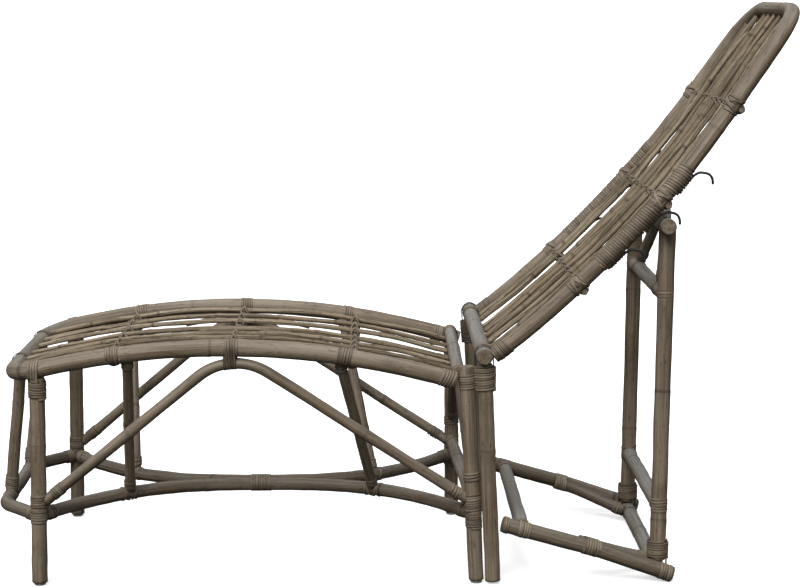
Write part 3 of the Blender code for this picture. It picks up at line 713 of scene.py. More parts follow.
out_dir = Vector((FRONT_U_X - FRONT_LEG_X, SEAT_HALF - FRONT_U_HALF, 0.0)).normalized()
u_start = Vector((FRONT_LEG_X, -SEAT_HALF, STRETCHER_Z)) + out_dir * (LEG_R + 0.0020)
add_pole("front_stretcher",
         fillet([u_start, (FRONT_U_X, -FRONT_U_HALF, STRETCHER_Z),
                 (FRONT_U_X, FRONT_U_HALF, STRETCHER_Z), (u_start.x, -u_start.y, STRETCHER_Z)],
                FRONT_U_BEND, 20), STRETCHER_R, "bench", seg=24, grow=(0.006, 0.006), tone=-0.3, skin=SHADED)
leg_in = SEAT_HALF - LEG_R - 0.0012
add_pole("rear_stretcher", [(rear_leg_x(0.1620, k), k * leg_in, 0.1620) for k in SIDES],
         STRETCHER_R, "bench", seg=24, grow=(0.005, 0.005))
v_peak = Vector((0.1760, 0.0, 0.3980))
v_foot = []
for sign in SIDES:
    aim = Vector((rear_leg_x(0.2080, sign), sign * SEAT_HALF, 0.2080))
    v_foot.append(meet(aim, aim - v_peak, ARCH_R, (0, 0, 1), LEG_R + 0.0008))
add_pole("rear_arch", fillet([v_foot[0], v_peak, v_foot[1]], 0.075, 30), ARCH_R, "bench",
         seg=24, grow=(0.006, 0.006))

for end, sign, top_x, low_x in (("front", -1, -0.4450, -0.4660), ("front", 1, -0.4935, -0.4715),
                                ("rear", -1, -0.0530, 0.0120), ("rear", 1, -0.0530, 0.0120)):
    top = Vector((top_x, sign * SEAT_HALF, seat_z(top_x)))
    low = Vector((low_x, sign * stretcher_y(low_x, sign), STRETCHER_Z))
    lean = (stretcher_y(low_x + 0.001, sign) - stretcher_y(low_x - 0.001, sign)) / 0.002
    add_pole("side_stick_%s_%s" % (end, side_name(sign)),
             [meet(top, top - low, STICK_R, (1, 0, 0), SEAT_R + 0.0024),
              meet(low, low - top, STICK_R, (1.0, sign * lean, 0.0), STRETCHER_R + 0.0003)],
             STICK_R, "bench", seg=24, grow=(0.006, 0.006), tone=-0.35)
for sign, top_y, low_y in ((-1, -0.0920, -0.0880), (1, 0.1500, 0.1250)):
    top = Vector((SEAT_FRONT_X, top_y, seat_z(SEAT_FRONT_X)))
    low = Vector((FRONT_U_X, low_y, STRETCHER_Z))
    add_pole("front_stick_" + side_name(sign),
             [meet(top, top - low, FRONT_STICK_R, (0, 1, 0), SEAT_R),
              meet(low, low - top, FRONT_STICK_R, (0, 1, 0), STRETCHER_R)],
             FRONT_STICK_R, "bench", seg=24, grow=(0.006, 0.006), tone=-0.35)
for name, x in zip(("front", "middle", "rear"), CROSSBAR_X):
    z = seat_z(x) - CROSSBAR_DROP
    add_pole("seat_crossbar_" + name, [(x, -rail_in, z), (x, rail_in, z)], CROSSBAR_R, "bench",
             seg=24, grow=(0.004, 0.004), tone=-0.4)

# ---------------------------------------------------------------- back carrier poles
for sign in SIDES:
    side = side_name(sign)
    y = sign * POST_HALF
    add_pole("post_" + side, [(POST_TOP[0], y, POST_TOP[1]), (POST_FOOT[0], y, POST_FOOT[1])],
             POST_R, "bench", tone=-0.15)
    y = sign * BASE_HALF
    add_pole("base_rail_" + side,
             fillet([(BASE_START[0], y, BASE_START[1]), (BASE_BEND[0], y, BASE_BEND[1]),
                     (BASE_END_X, y, base_rail_z(BASE_END_X))], 0.30, 16), BASE_R, "bench",
             tone=-0.6, skin=SHADED)
    yb = sign * (BASE_HALF - BASE_R - BRANCH_R - 0.0008)
    aim = Vector((REAR_BAR[0], sign * BRANCH_END_HALF, REAR_BAR[1]))
    turn = Vector((0.4450, yb, base_rail_z(0.4450)))
    add_pole("base_branch_" + side,
             fillet([(0.4020, yb, base_rail_z(0.4020)), turn,
                     meet(aim, aim - turn, BRANCH_R, (0, 1, 0), REAR_BAR_R)], 0.080, 16),
             BRANCH_R, "bench", seg=24, grow=(0.0, 0.006), tone=-0.5, skin=SHADED)
base_in = BASE_HALF - BASE_R - 0.0006
add_pole("base_front_rail", [(BASE_FRONT_X, -base_in, base_rail_z(BASE_FRONT_X)),
                             (BASE_FRONT_X, base_in, base_rail_z(BASE_FRONT_X))],
         BASE_FRONT_R, "bench", skin=PALE, slot="rattan_pale", grow=(0.005, 0.005))
add_pole("base_rear_bar", [(REAR_BAR[0], -base_in, REAR_BAR[1]), (REAR_BAR[0], base_in, REAR_BAR[1])],
         REAR_BAR_R, "bench", skin=PALE, slot="rattan_pale", grow=(0.004, 0.004), tone=-0.4)

# ---------------------------------------------------------------- backrest poles
s_corner = BACK_LENGTH - BACK_CORNER_R
y_corner = back_half(s_corner) - BACK_CORNER_R
back_run = [(s, -back_half(s)) for s in np.linspace(PIVOT_R + 0.0045, s_corner, 90)]
for i in range(1, 31):
    a = math.radians(90.0 * i / 30.0)
    back_run.append((s_corner + BACK_CORNER_R * math.sin(a), -y_corner - BACK_CORNER_R * math.cos(a)))
back_run = back_run + [(s, -y) for s, y in reversed(back_run)]
add_pole("pivot_bar", [(PIVOT[0], -PIVOT_HALF, PIVOT[1]), (PIVOT[0], PIVOT_HALF, PIVOT[1])],
         PIVOT_R, "backrest", skin=PALE, tone=-0.45)
BACK = add_pole("backrest_frame", [back_point(s, y) for s, y in back_run], BACK_R, "backrest",
                seg=32, grow=(0.006, 0.006), tone=0.1)
for name, s, half in zip(("lower", "middle", "upper"), BACK_BAR_S, BACK_BAR_HALF):
    add_pole("backrest_crossbar_" + name,
             [back_point(s, -half, BAR_REAR), back_point(s, half, BAR_REAR)], BACK_BAR_R,
             "backrest", seg=24, tone=-0.3,
             girth=lambda u: 1.0 - 0.30 * np.clip((np.abs(u - 0.5) - 0.462) / 0.024, 0.0, 1.0))

# ---------------------------------------------------------------- prop poles
prop_foot_z = REAR_BAR[1] + REAR_BAR_R + 0.0032
prop_top_z = PROP_TOP_RAIL[1] - PROP_TOP_R - 0.0004
for sign in SIDES:
    y = sign * PROP_HALF
    add_pole("prop_post_" + side_name(sign),
             [(prop_x(prop_top_z), y, prop_top_z), (prop_x(prop_foot_z), y, prop_foot_z)],
             PROP_R, "prop", grow=(0.006, 0.0), tone=-0.4,
             girth=lambda u: 1.05 + 0.07 * np.clip(1.0 - u / 0.5, 0.0, 1.0) ** 1.5)
add_pole("prop_top_rail", [(PROP_TOP_RAIL[0], -PROP_TOP_HALF, PROP_TOP_RAIL[1]),
                           (PROP_TOP_RAIL[0], PROP_TOP_HALF, PROP_TOP_RAIL[1])],
         PROP_TOP_R, "prop", skin=PALE)
prop_in = PROP_HALF - PROP_R - 0.0004
for name, z in (("upper", PROP_UPPER_Z), ("lower", PROP_LOWER_Z)):
    add_pole("prop_%s_rail" % name, [(prop_x(z), -prop_in, z), (prop_x(z), prop_in, z)],
             PROP_RAIL_R, "prop", skin=PALE, slot="rattan_pale", seg=24, grow=(0.004, 0.004))
upper_x = prop_x(PROP_UPPER_Z)
peak = Vector((upper_x + PROP_ARCH_LEAN, 0.0, PROP_UPPER_Z + PROP_ARCH_RISE))
foot = Vector((upper_x, -PROP_ARCH_FOOT_HALF, PROP_UPPER_Z))
foot_left = meet(foot, foot - peak, ARCH_R, (0, 1, 0), PROP_RAIL_R)
add_pole("prop_arch", fillet([foot_left, peak, (foot_left.x, -foot_left.y, foot_left.z)],
                             PROP_ARCH_BEND, 30), ARCH_R, "prop", seg=24, grow=(0.006, 0.006))


# ---------------------------------------------------------------- cane mats
CANE_LIFT = CROSSBAR_R - CROSSBAR_DROP + SEAT_CANE_R + 0.0004
CANE_REAR = BAR_REAR - BACK_BAR_R - CANE_R - 0.0004


def seat_cane(sign, y):
    inner = SEAT_CORNER_R - SEAT_R
    dy = y - (SEAT_HALF - SEAT_CORNER_R)
    x0 = SEAT_FRONT_X + SEAT_R
    if dy > 0.0:
        x0 = SEAT_FRONT_X + SEAT_CORNER_R - math.sqrt(inner * inner - dy * dy)
    u = 0.5 + 0.5 * sign * y / rail_in
    x1 = REAR_RAIL_X[-1] + (REAR_RAIL_X[1] - REAR_RAIL_X[-1]) * u - REAR_RAIL_R
    return [(x, sign * y, seat_z(x) + CANE_LIFT) for x in np.linspace(x0 - 0.002, x1 + 0.002, 80)]


def back_cane(sign, y):
    fan = y / CANE_Y[sign][3]
    s0 = PIVOT_R - 0.0040
    s1 = BACK_LENGTH - BACK_R + 0.002
    top_y = fan * (back_half(s1) - BACK_R - 0.0190)
    dy = top_y - (back_half(s_corner) - BACK_CORNER_R)
    if dy > 0.0:
        inner = BACK_CORNER_R - BACK_R
        s1 = s_corner + math.sqrt(inner * inner - dy * dy) - 0.002
    return [back_point(s, sign * fan * (back_half(s) - BACK_R - 0.0190), CANE_REAR)
            for s in np.linspace(s0, s1, 80)]


def splice(label, run, radius, u0, u1, side, face):
    """A second cane laid beside the first over part of its length, its ends cut on the slant."""
    p = np.array(run, float)
    count = len(p)
    u = np.linspace(u0, u1, 46)
    at = np.stack([np.interp(u, np.linspace(0.0, 1.0, count), p[:, k]) for k in range(3)], 1)
    ends = np.clip(np.minimum(u - u0, u1 - u) / ((u1 - u0) * 0.16), 0.0, 1.0)
    out = np.asarray(face, float)
    shift = side * radius * (0.25 + 1.45 * ends)
    at = at + np.array((0.0, 1.0, 0.0)) * shift[:, None] - out * ((1.0 - ends) * radius * 0.9)[:, None]
    pole = Pole(label, at, radius * 0.94)
    return cane_mesh(pole, seg=32, ring_gap=(0.12, 0.30), ring_height=0.0004, wobble=0.0004,
                     rough=0.00016, splits=2, step=0.004, face=face)


strands = []
for i, y in enumerate(SEAT_CANE_Y):
    name = "seat_cane_%d" % i
    run = seat_cane(1 if y > 0.0 else -1, abs(y))
    size = SEAT_CANE_R * seeded(name + "_girth").uniform(0.94, 1.10)
    strands.append(cane_mesh(Pole(name, run, size), seg=32, ring_gap=(0.09, 0.26), ring_height=0.0006,
                             wobble=0.0014, rough=0.00022, splits=2, step=0.004, face=(0.0, -0.5, 0.86),
                             tone=seeded(name).uniform(-0.95, 0.95)))
    for k, (cane, u0, u1, side) in enumerate(((1, 0.02, 0.22, 1), (2, 0.03, 0.30, 1), (3, 0.40, 0.62, -1),
                                             (4, 0.36, 0.66, 1), (2, 0.52, 0.74, 1), (1, 0.30, 0.62, 1),
                                             (5, 0.02, 0.17, -1), (0, 0.42, 0.80, 1))):
        if cane == i:
            strands.append(splice("seat_splice_%d_%d" % (i, k), run, SEAT_CANE_R, u0, u1, side, (0.0, 0.0, 1.0)))
piece("seat_canes", join_arrays(strands), "bench", [CANE, END], ("seat_cane_mat",))

strands = []
for sign in SIDES:
    for i, y in enumerate(CANE_Y[sign]):
        name = "back_cane_%s_%d" % (side_name(sign), i)
        run = back_cane(sign, y)
        size = CANE_R * seeded(name + "_girth").uniform(0.98, 1.16)
        strands.append(cane_mesh(Pole(name, run, size), seg=32, ring_gap=(0.09, 0.26), ring_height=0.0006,
                                 wobble=0.0014, rough=0.00022, splits=3, step=0.004, face=(-0.62, 0.0, 0.78),
                                 tone=seeded(name).uniform(-0.95, 0.95)))
        for k, (which, cane, u0, u1, side) in enumerate(((-1, 0, 0.06, 0.50, 1), (-1, 1, 0.30, 0.78, 1),
                                                        (-1, 2, 0.05, 0.36, 1), (1, 0, 0.44, 0.92, -1),
                                                        (1, 1, 0.51, 0.97, 1), (-1, 3, 0.48, 0.90, 1),
                                                        (1, 2, 0.50, 0.96, -1), (-1, 3, 0.02, 0.30, 1))):
            if which == sign and cane == i:
                strands.append(splice("back_splice_%s_%d_%d" % (side_name(sign), i, k), run, CANE_R, u0, u1,
                                      side, (-0.62, 0.0, 0.78)))
piece("back_canes", join_arrays(strands), "backrest", [CANE, END], ("backrest_cane_mat",))


# ---------------------------------------------------------------- bindings
STRIP = ((-0.5, 0.05), (-0.5, 0.45), (-0.33, 0.86), (0.0, 1.0), (0.33, 0.86), (0.5, 0.45),
         (0.5, 0.05), (0.0, -0.25))
# Darkness painted on each point of the strip's profile: painted shade on the sides and underside, none on the top.
STRIP_SIDE_SHADE = (1.0, 0.75, 0.12, 0.0, 0.12, 0.75, 1.0, 1.0)


class Binding:
    """Strands of rattan peel round one joint, gathered into one piece."""

    def __init__(self, name, body):
        self.name, self.body = name, body
        self.rng = seeded(name)
        self.parts = []

    def strand(self, path, normal, width=PEEL_W, thick=PEEL_T, tone=None, sink=True):
        p = np.asarray(path, float)
        up = np.asarray(normal, float)
        t = np.gradient(p, axis=0)
        t /= np.linalg.norm(t, axis=1)[:, None]
        up = up - t * np.sum(up * t, axis=1)[:, None]
        up /= np.linalg.norm(up, axis=1)[:, None]
        across = np.cross(t, up)
        count = len(p)
        s = np.concatenate(([0.0], np.cumsum(np.linalg.norm(np.diff(p, axis=0), axis=1))))
        if sink:
            tuck = np.clip(np.minimum(s, s[-1] - s) / 0.006, 0.0, 1.0)
            p = p - up * ((1.0 - tuck) * (thick * 1.25 if sink is True else sink))[:, None]
        w = width * (1.0 + 0.05 * np.sin(s / 0.021 + self.rng.uniform(0, 6.28))
                     + 0.04 * np.sin(s / 0.0063 + self.rng.uniform(0, 6.28)))
        prof = np.array(STRIP)
        k = len(prof)
        v = (p[:, None, :] + across[:, None, :] * (prof[None, :, 0] * w[:, None])[:, :, None]
             + up[:, None, :] * (prof[None, :, 1] * thick)[:, :, None])
        i = np.arange(count - 1)[:, None] * k
        j = np.arange(k)[None, :]
        m = (j + 1) % k
        faces = np.stack([i + j, i + m, i + k + m, i + k + j], 2).reshape(-1, 4)[:, ::-1].tolist()
        faces.append(list(range(k)))
        faces.append(list(range((count - 1) * k, count * k))[::-1])
        shift = self.rng.uniform(0.0, 50.0)
        grain = np.stack([np.repeat(s + shift, k), np.tile(prof[:, 0] * width, count),
                          np.full(count * k, shift * 0.01)], 1)
        # sky: how far each strip faces up, for the painted highlight
        sky = np.repeat(up[:, 2], k)
        edge = np.tile(np.array(STRIP_SIDE_SHADE), count)
        if tone is None:
            wave = np.sin(s / self.rng.uniform(0.03, 0.09) + self.rng.uniform(0, 6.28))
            tone = self.rng.uniform(-0.45, 0.45) + 0.25 * wave
        else:
            tone = np.full(count, tone)
        self.parts.append((v.reshape(-1, 3), faces, [0] * len(faces), grain, sky,
                           np.zeros(count * k), edge, np.repeat(tone, k)))

    def coil(self, pole, s0, s1, turns=None, chevron=0.0, width=PEEL_W, lift=0.0002, start=None,
             tone=None, girth=None, thick=PEEL_T):
        """Close turns round one pole from s0 to s1; chevron bends every turn to a V."""
        pole = POLES[pole] if isinstance(pole, str) else pole
        if turns is None:
            turns = max(2, int(round(abs(s1 - s0) / (width * 1.04))))
        start = self.rng.uniform(0.0, 6.28) if start is None else start
        steps = int(turns * 30) + 1
        u = np.linspace(0.0, 1.0, steps)
        theta = start + 2.0 * math.pi * turns * u
        jitter = 0.0003 * np.sin(theta * 0.37 + self.rng.uniform(0, 6.28))
        s = s0 + (s1 - s0) * u + jitter
        if chevron:
            s = s + chevron * (2.0 / math.pi) * np.arcsin(np.sin(2.0 * theta)) * np.sin(math.pi * np.clip(u * 1.0, 0.04, 0.96)) ** 0.3
        c, t, a, b = pole.at(s)
        out = a * np.cos(theta)[:, None] + b * np.sin(theta)[:, None]
        r = np.full(steps, pole.r) if girth is None else girth(s, out)
        r = r + lift + 0.00022 * (1.0 + np.sin(theta * 0.61 + self.rng.uniform(0, 6.28)))
        self.strand(c + out * r[:, None], out, width=width, thick=thick, tone=tone)

    def hull(self, centre, axis, poles, turns, pitch=PEEL_W * 1.04, width=PEEL_W, reach=0.04,
             lift=0.0003, tone=None, start=None):
        """Taut turns round several poles side by side, wound along axis."""
        axis = unit(axis)
        ref = np.array((0.0, 0.0, 1.0)) if abs(axis[2]) < 0.8 else np.array((1.0, 0.0, 0.0))
        e1 = unit(np.cross(ref, axis))
        e2 = np.cross(axis, e1)
        centre = np.array((centre[0] - MID, centre[1], centre[2]))
        start = self.rng.uniform(0.0, 6.28) if start is None else start
        steps = int(turns * 40) + 1
        theta = start + np.linspace(0.0, 2.0 * math.pi * turns, steps)
        radial = np.zeros(steps)
        middle = None
        for turn in range(int(math.ceil(turns)) + 1):
            plane = centre + axis * (pitch * (turn - turns / 2.0))
            ring = []
            for name in poles:
                pole = POLES[name] if isinstance(name, str) else name
                d = (pole.p - plane) @ axis
                near = int(np.argmin(np.abs(d) + 0.25 * np.linalg.norm(pole.p - plane, axis=1)))
                q, along = pole.p[near], pole.t[near]
                if abs(along @ axis) > 0.2:
                    q = q - along * (d[near] / (along @ axis))
                phi = np.linspace(0.0, 2.0 * math.pi, 48, endpoint=False)
                ray = e1[None, :] * np.cos(phi)[:, None] + e2[None, :] * np.sin(phi)[:, None]
                stretch = 1.0 / np.sqrt(np.maximum(1e-4, 1.0 - (ray @ along) ** 2))
                size = np.minimum((pole.r + lift) * stretch, reach)
                pts = q - plane + ray * size[:, None]
                ring.append(np.stack([pts @ e1, pts @ e2], 1))
            ring = convex(np.vstack(ring))
            if middle is None:
                middle = ring.mean(axis=0)
            span = (theta >= start + 2 * math.pi * (turn - 1)) & (theta <= start + 2 * math.pi * (turn + 1))
            weight = np.clip(1.0 - np.abs((theta - start) / (2 * math.pi) - turn), 0.0, 1.0)
            idx = np.nonzero(span & (weight > 0.0))[0]
            radial[idx] += weight[idx] * polar(ring - middle, theta[idx])
        along = pitch * ((theta - start) / (2 * math.pi) - turns / 2.0)
        ray = e1[None, :] * np.cos(theta)[:, None] + e2[None, :] * np.sin(theta)[:, None]
        base = centre + e1 * middle[0] + e2 * middle[1]
        path = base + axis[None, :] * along[:, None] + ray * radial[:, None]
        t = np.gradient(path, axis=0)
        normal = np.cross(t, axis)
        flip = np.sign(np.sum(normal * ray, axis=1))
        normal = normal * flip[:, None]
        normal /= np.linalg.norm(normal, axis=1)[:, None]
        for _ in range(2):
            normal[1:-1] = normal[:-2] + normal[1:-1] + normal[2:]
            normal /= np.linalg.norm(normal, axis=1)[:, None]
        self.strand(path, normal, width=width, tone=tone)

    def done(self):
        return piece(self.name, join_arrays(self.parts), self.body, [PEEL])


def convex(points):
    """Convex outline of flat points, anticlockwise."""
    pts = sorted(set((round(float(x), 7), round(float(y), 7)) for x, y in points))
    def half(run):
        out = []
        for q in run:
            while len(out) > 1 and ((out[-1][0] - out[-2][0]) * (q[1] - out[-2][1])
                                    - (out[-1][1] - out[-2][1]) * (q[0] - out[-2][0])) <= 0.0:
                out.pop()
            out.append(q)
        return out[:-1]
    return np.array(half(pts) + half(pts[::-1]))


def polar(ring, theta):
    """Distance from the origin to a convex outline along each angle."""
    out = np.full(len(theta), 1e9)
    ray = np.stack([np.cos(theta), np.sin(theta)], 1)
    for p, q in zip(ring, np.roll(ring, -1, axis=0)):
        edge = q - p
        normal = np.array((edge[1], -edge[0]))
        dist = normal @ p
        if dist < 1e-12:
            continue
        cosine = ray @ normal
        hit = np.where(cosine > 1e-9, dist / np.maximum(cosine, 1e-9), 1e9)
        out = np.minimum(out, hit)
    return out


def taut(path, tubes, rounds=260, skin=0.0006):
    """Pulls a strand tight over round poles given as (point, direction, radius)."""
    p = np.asarray(path, float)
    for i in range(rounds):
        p[1:-1] = 0.25 * p[:-2] + 0.5 * p[1:-1] + 0.25 * p[2:]
        for origin, along, radius in tubes:
            d = p - origin
            d = d - np.outer(d @ along, along)
            far = np.linalg.norm(d, axis=1)
            short = np.maximum(0.0, radius + skin - far)
            p = p + d / np.maximum(far, 1e-9)[:, None] * short[:, None]
    normal = np.zeros_like(p)
    for origin, along, radius in tubes:
        d = p - origin
        d = d - np.outer(d @ along, along)
        far = np.linalg.norm(d, axis=1)
        normal += d / np.maximum(far, 1e-9)[:, None] * np.exp(-np.abs(far - radius) / 0.0012)[:, None]
    normal += 1e-6
    normal /= np.linalg.norm(normal, axis=1)[:, None]
    for _ in range(3):
        normal[1:-1] = normal[:-2] + normal[1:-1] + normal[2:]
        normal /= np.linalg.norm(normal, axis=1)[:, None]
    return p, normal


def cross_path(bar_r, cane_r, spread, side, lift):
    """One diagonal of an X lashing in local axes: u along the cane, v along the bar, w outwards."""
    tubes = [(np.zeros(3), np.array((0.0, 1.0, 0.0)), bar_r),
             (np.array((0.0, 0.0, bar_r + cane_r + 0.0004)), np.array((1.0, 0.0, 0.0)), cane_r)]
    top = bar_r + 2.0 * cane_r + 0.002
    knots = [(0.0, -spread, -bar_r), (-bar_r * 1.1, -spread, 0.0), (-bar_r * 0.8, -spread * 0.7, bar_r),
             (0.0, 0.0, top), (bar_r * 0.8, spread * 0.7, bar_r), (bar_r * 1.1, spread, 0.0),
             (0.0, spread, -bar_r)]
    path, _ = resample([(u, side * v, w) for u, v, w in knots], 0.0016)
    return taut(path, tubes, skin=lift)


def lash(binding, origin, u, v, w, bar_r, cane_r, spread=0.0085, width=0.0042, copies=1, pitch=0.0044,
         tone=None):
    """An X of peel that ties a cane to a bar."""
    basis = np.stack([unit(u), unit(v), unit(w)], 0)
    origin = np.array((origin[0] - MID, origin[1], origin[2]))
    for side, lift in ((1, 0.0003), (-1, 0.0013)):
        for i in range(copies):
            jig = binding.rng.uniform(-0.0007, 0.0007)
            local, normal = cross_path(bar_r, cane_r, spread + jig + pitch * i, side, lift)
            binding.strand(origin + local @ basis, normal @ basis, width=width,
                           tone=None if tone is None else tone + binding.rng.uniform(-0.45, 0.45))


# lashings of the seat canes
for label, x in zip(("front", "middle", "rear"), CROSSBAR_X):
    z = seat_z(x) - CROSSBAR_DROP
    bind = Binding("lashing_seat_" + label, "bench")
    bar = "seat_crossbar_" + label
    slope = -0.67 * (x + 0.270)
    for y in SEAT_CANE_Y:
        lash(bind, (x, y, z), (1.0, 0.0, slope), (0, 1, 0), (-slope, 0.0, 1.0), CROSSBAR_R, SEAT_CANE_R * 1.06,
             copies=2, width=0.0044, tone=-0.45)
    ys = list(SEAT_CANE_Y)
    for y0, y1 in zip([-rail_in - 0.010] + ys, ys + [rail_in + 0.010]):
        a = max(y0 + 0.0150, -rail_in + 0.001) + rail_in
        b = min(y1 - 0.0150, rail_in - 0.001) + rail_in
        if b - a > 0.006:
            bind.coil(bar, a, b, turns=max(2, int((b - a) / 0.0058)), width=0.0046, tone=-1.0)
    bind.done()

# lashings of the back canes
for label, s in zip(("lower", "middle", "upper"), BACK_BAR_S):
    p, along, normal = back_frame(s)
    bind = Binding("lashing_back_" + label, "backrest")
    bar = POLES["backrest_crossbar_" + label]
    half = bar.length / 2.0
    ys = []
    for sign in SIDES:
        for y in CANE_Y[sign]:
            at = sign * y / CANE_Y[sign][3] * (back_half(s) - BACK_R - 0.0190)
            ys.append(at)
            lash(bind, back_point(s, at, BAR_REAR), along, (0, 1, 0), tuple(-normal), BACK_BAR_R, CANE_R * 1.08,
                 copies=2, width=0.0044, tone=-0.45)
    ys.sort()
    limit = back_half(s) - BACK_R - 0.004
    for y0, y1 in zip([-limit - 0.011] + ys, ys + [limit + 0.011]):
        a, b = y0 + 0.0150 + half, y1 - 0.0150 + half
        if b - a > 0.006:
            bind.coil(bar, a, b, turns=max(2, int((b - a) / 0.0058)), width=0.0046, tone=-1.0)
    bind.done()


# ---------------------------------------------------------------- peel bindings at the joints
def ringed(pole_r, extras):
    """Girth of a taut turn round a pole and thinner rods beside it, given as (x, y, r)."""
    phi = np.linspace(0.0, 2.0 * math.pi, 40, endpoint=False)
    discs = [(0.0, 0.0, pole_r)] + list(extras)
    ring = convex(np.vstack([np.stack([x + r * np.cos(phi), y + r * np.sin(phi)], 1) for x, y, r in discs]))
    table = polar(ring, np.linspace(-math.pi, math.pi, 721))
    return lambda angle: np.interp((angle + math.pi) % (2.0 * math.pi) - math.pi,
                                   np.linspace(-math.pi, math.pi, 721), table)


def arc_strands(binding, pole, stations, centre_dir, half_angle, width=PEEL_W, lift=0.0004, tone=None):
    """Part turns on one side of a pole."""
    pole = POLES[pole] if isinstance(pole, str) else pole
    for s in stations:
        s = s + binding.rng.uniform(-0.0004, 0.0004)
        c, t, a, b = pole.at(np.array([s]))
        c, t = c[0], unit(t[0])
        mid = np.asarray(centre_dir, float)
        mid = unit(mid - t * (mid @ t))
        side = np.cross(t, mid)
        ang = np.linspace(-half_angle, half_angle, 40)
        out = mid[None, :] * np.cos(ang)[:, None] + side[None, :] * np.sin(ang)[:, None]
        slip = t[None, :] * (0.0008 * np.sin(ang * 1.3 + binding.rng.uniform(0, 6.28)))[:, None]
        binding.strand(c + slip + out * (pole.r + lift), out, width=width, tone=tone)


def end_coil(binding, name, end, from_end, length, width=PEEL_W, lift=0.0002, chevron=0.0, tone=None,
             turns=None):
    """Turns round a pole close to its first (0) or last (1) end."""
    pole = POLES[name]
    s0 = from_end if end == 0 else pole.length - from_end - length
    binding.coil(pole, s0, s0 + length, width=width, lift=lift, chevron=chevron, tone=tone, turns=turns)


def leg_coil(binding, name, z_top, z_low, **how):
    """Turns round an upright pole between two heights."""
    pole = POLES[name]
    z = pole.p[:, 2]
    at = lambda level: float(np.interp(level, z[::-1], pole.s[::-1]))
    binding.coil(pole, at(z_top), at(z_low), **how)


def rail_coil(binding, sign, x0, x1, **how):
    """Turns round one seat rail between two stations along the bench."""
    a, b = (SEAT.near(x, sign * SEAT_HALF, seat_z(x)) for x in (x0, x1))
    binding.coil(SEAT, a, b, **how)


def saddle(binding, x, y, rail_z, leg_x, low_z, tone=None):
    """A strand over the seat rail with both ends down the sides of the leg under it."""
    over = SEAT_R + 0.0007
    dx = x - leg_x
    beside = math.sqrt(max(1e-6, LEG_R ** 2 - dx ** 2)) + 0.0008
    run = []
    for z in np.linspace(low_z, rail_z - 0.002, 12):
        mix = np.clip((z - (rail_z - SEAT_R - 0.004)) / 0.010, 0.0, 1.0)
        run.append((x, -(beside + (over - beside) * mix), z))
    run += [(x, -over * math.cos(a), rail_z + over * math.sin(a)) for a in np.linspace(0.0, math.pi, 26)]
    run += [(q[0], -q[1], q[2]) for q in reversed(run[:12])]
    path, _ = resample([(q[0] - MID, y + q[1], q[2]) for q in run], 0.0014)
    mid = np.array((x - MID, y, rail_z))
    normal = path - mid
    normal[:, 0] = 0.0
    low = path[:, 2] < rail_z
    normal[low, 2] = 0.0
    binding.strand(path, normal, tone=tone)


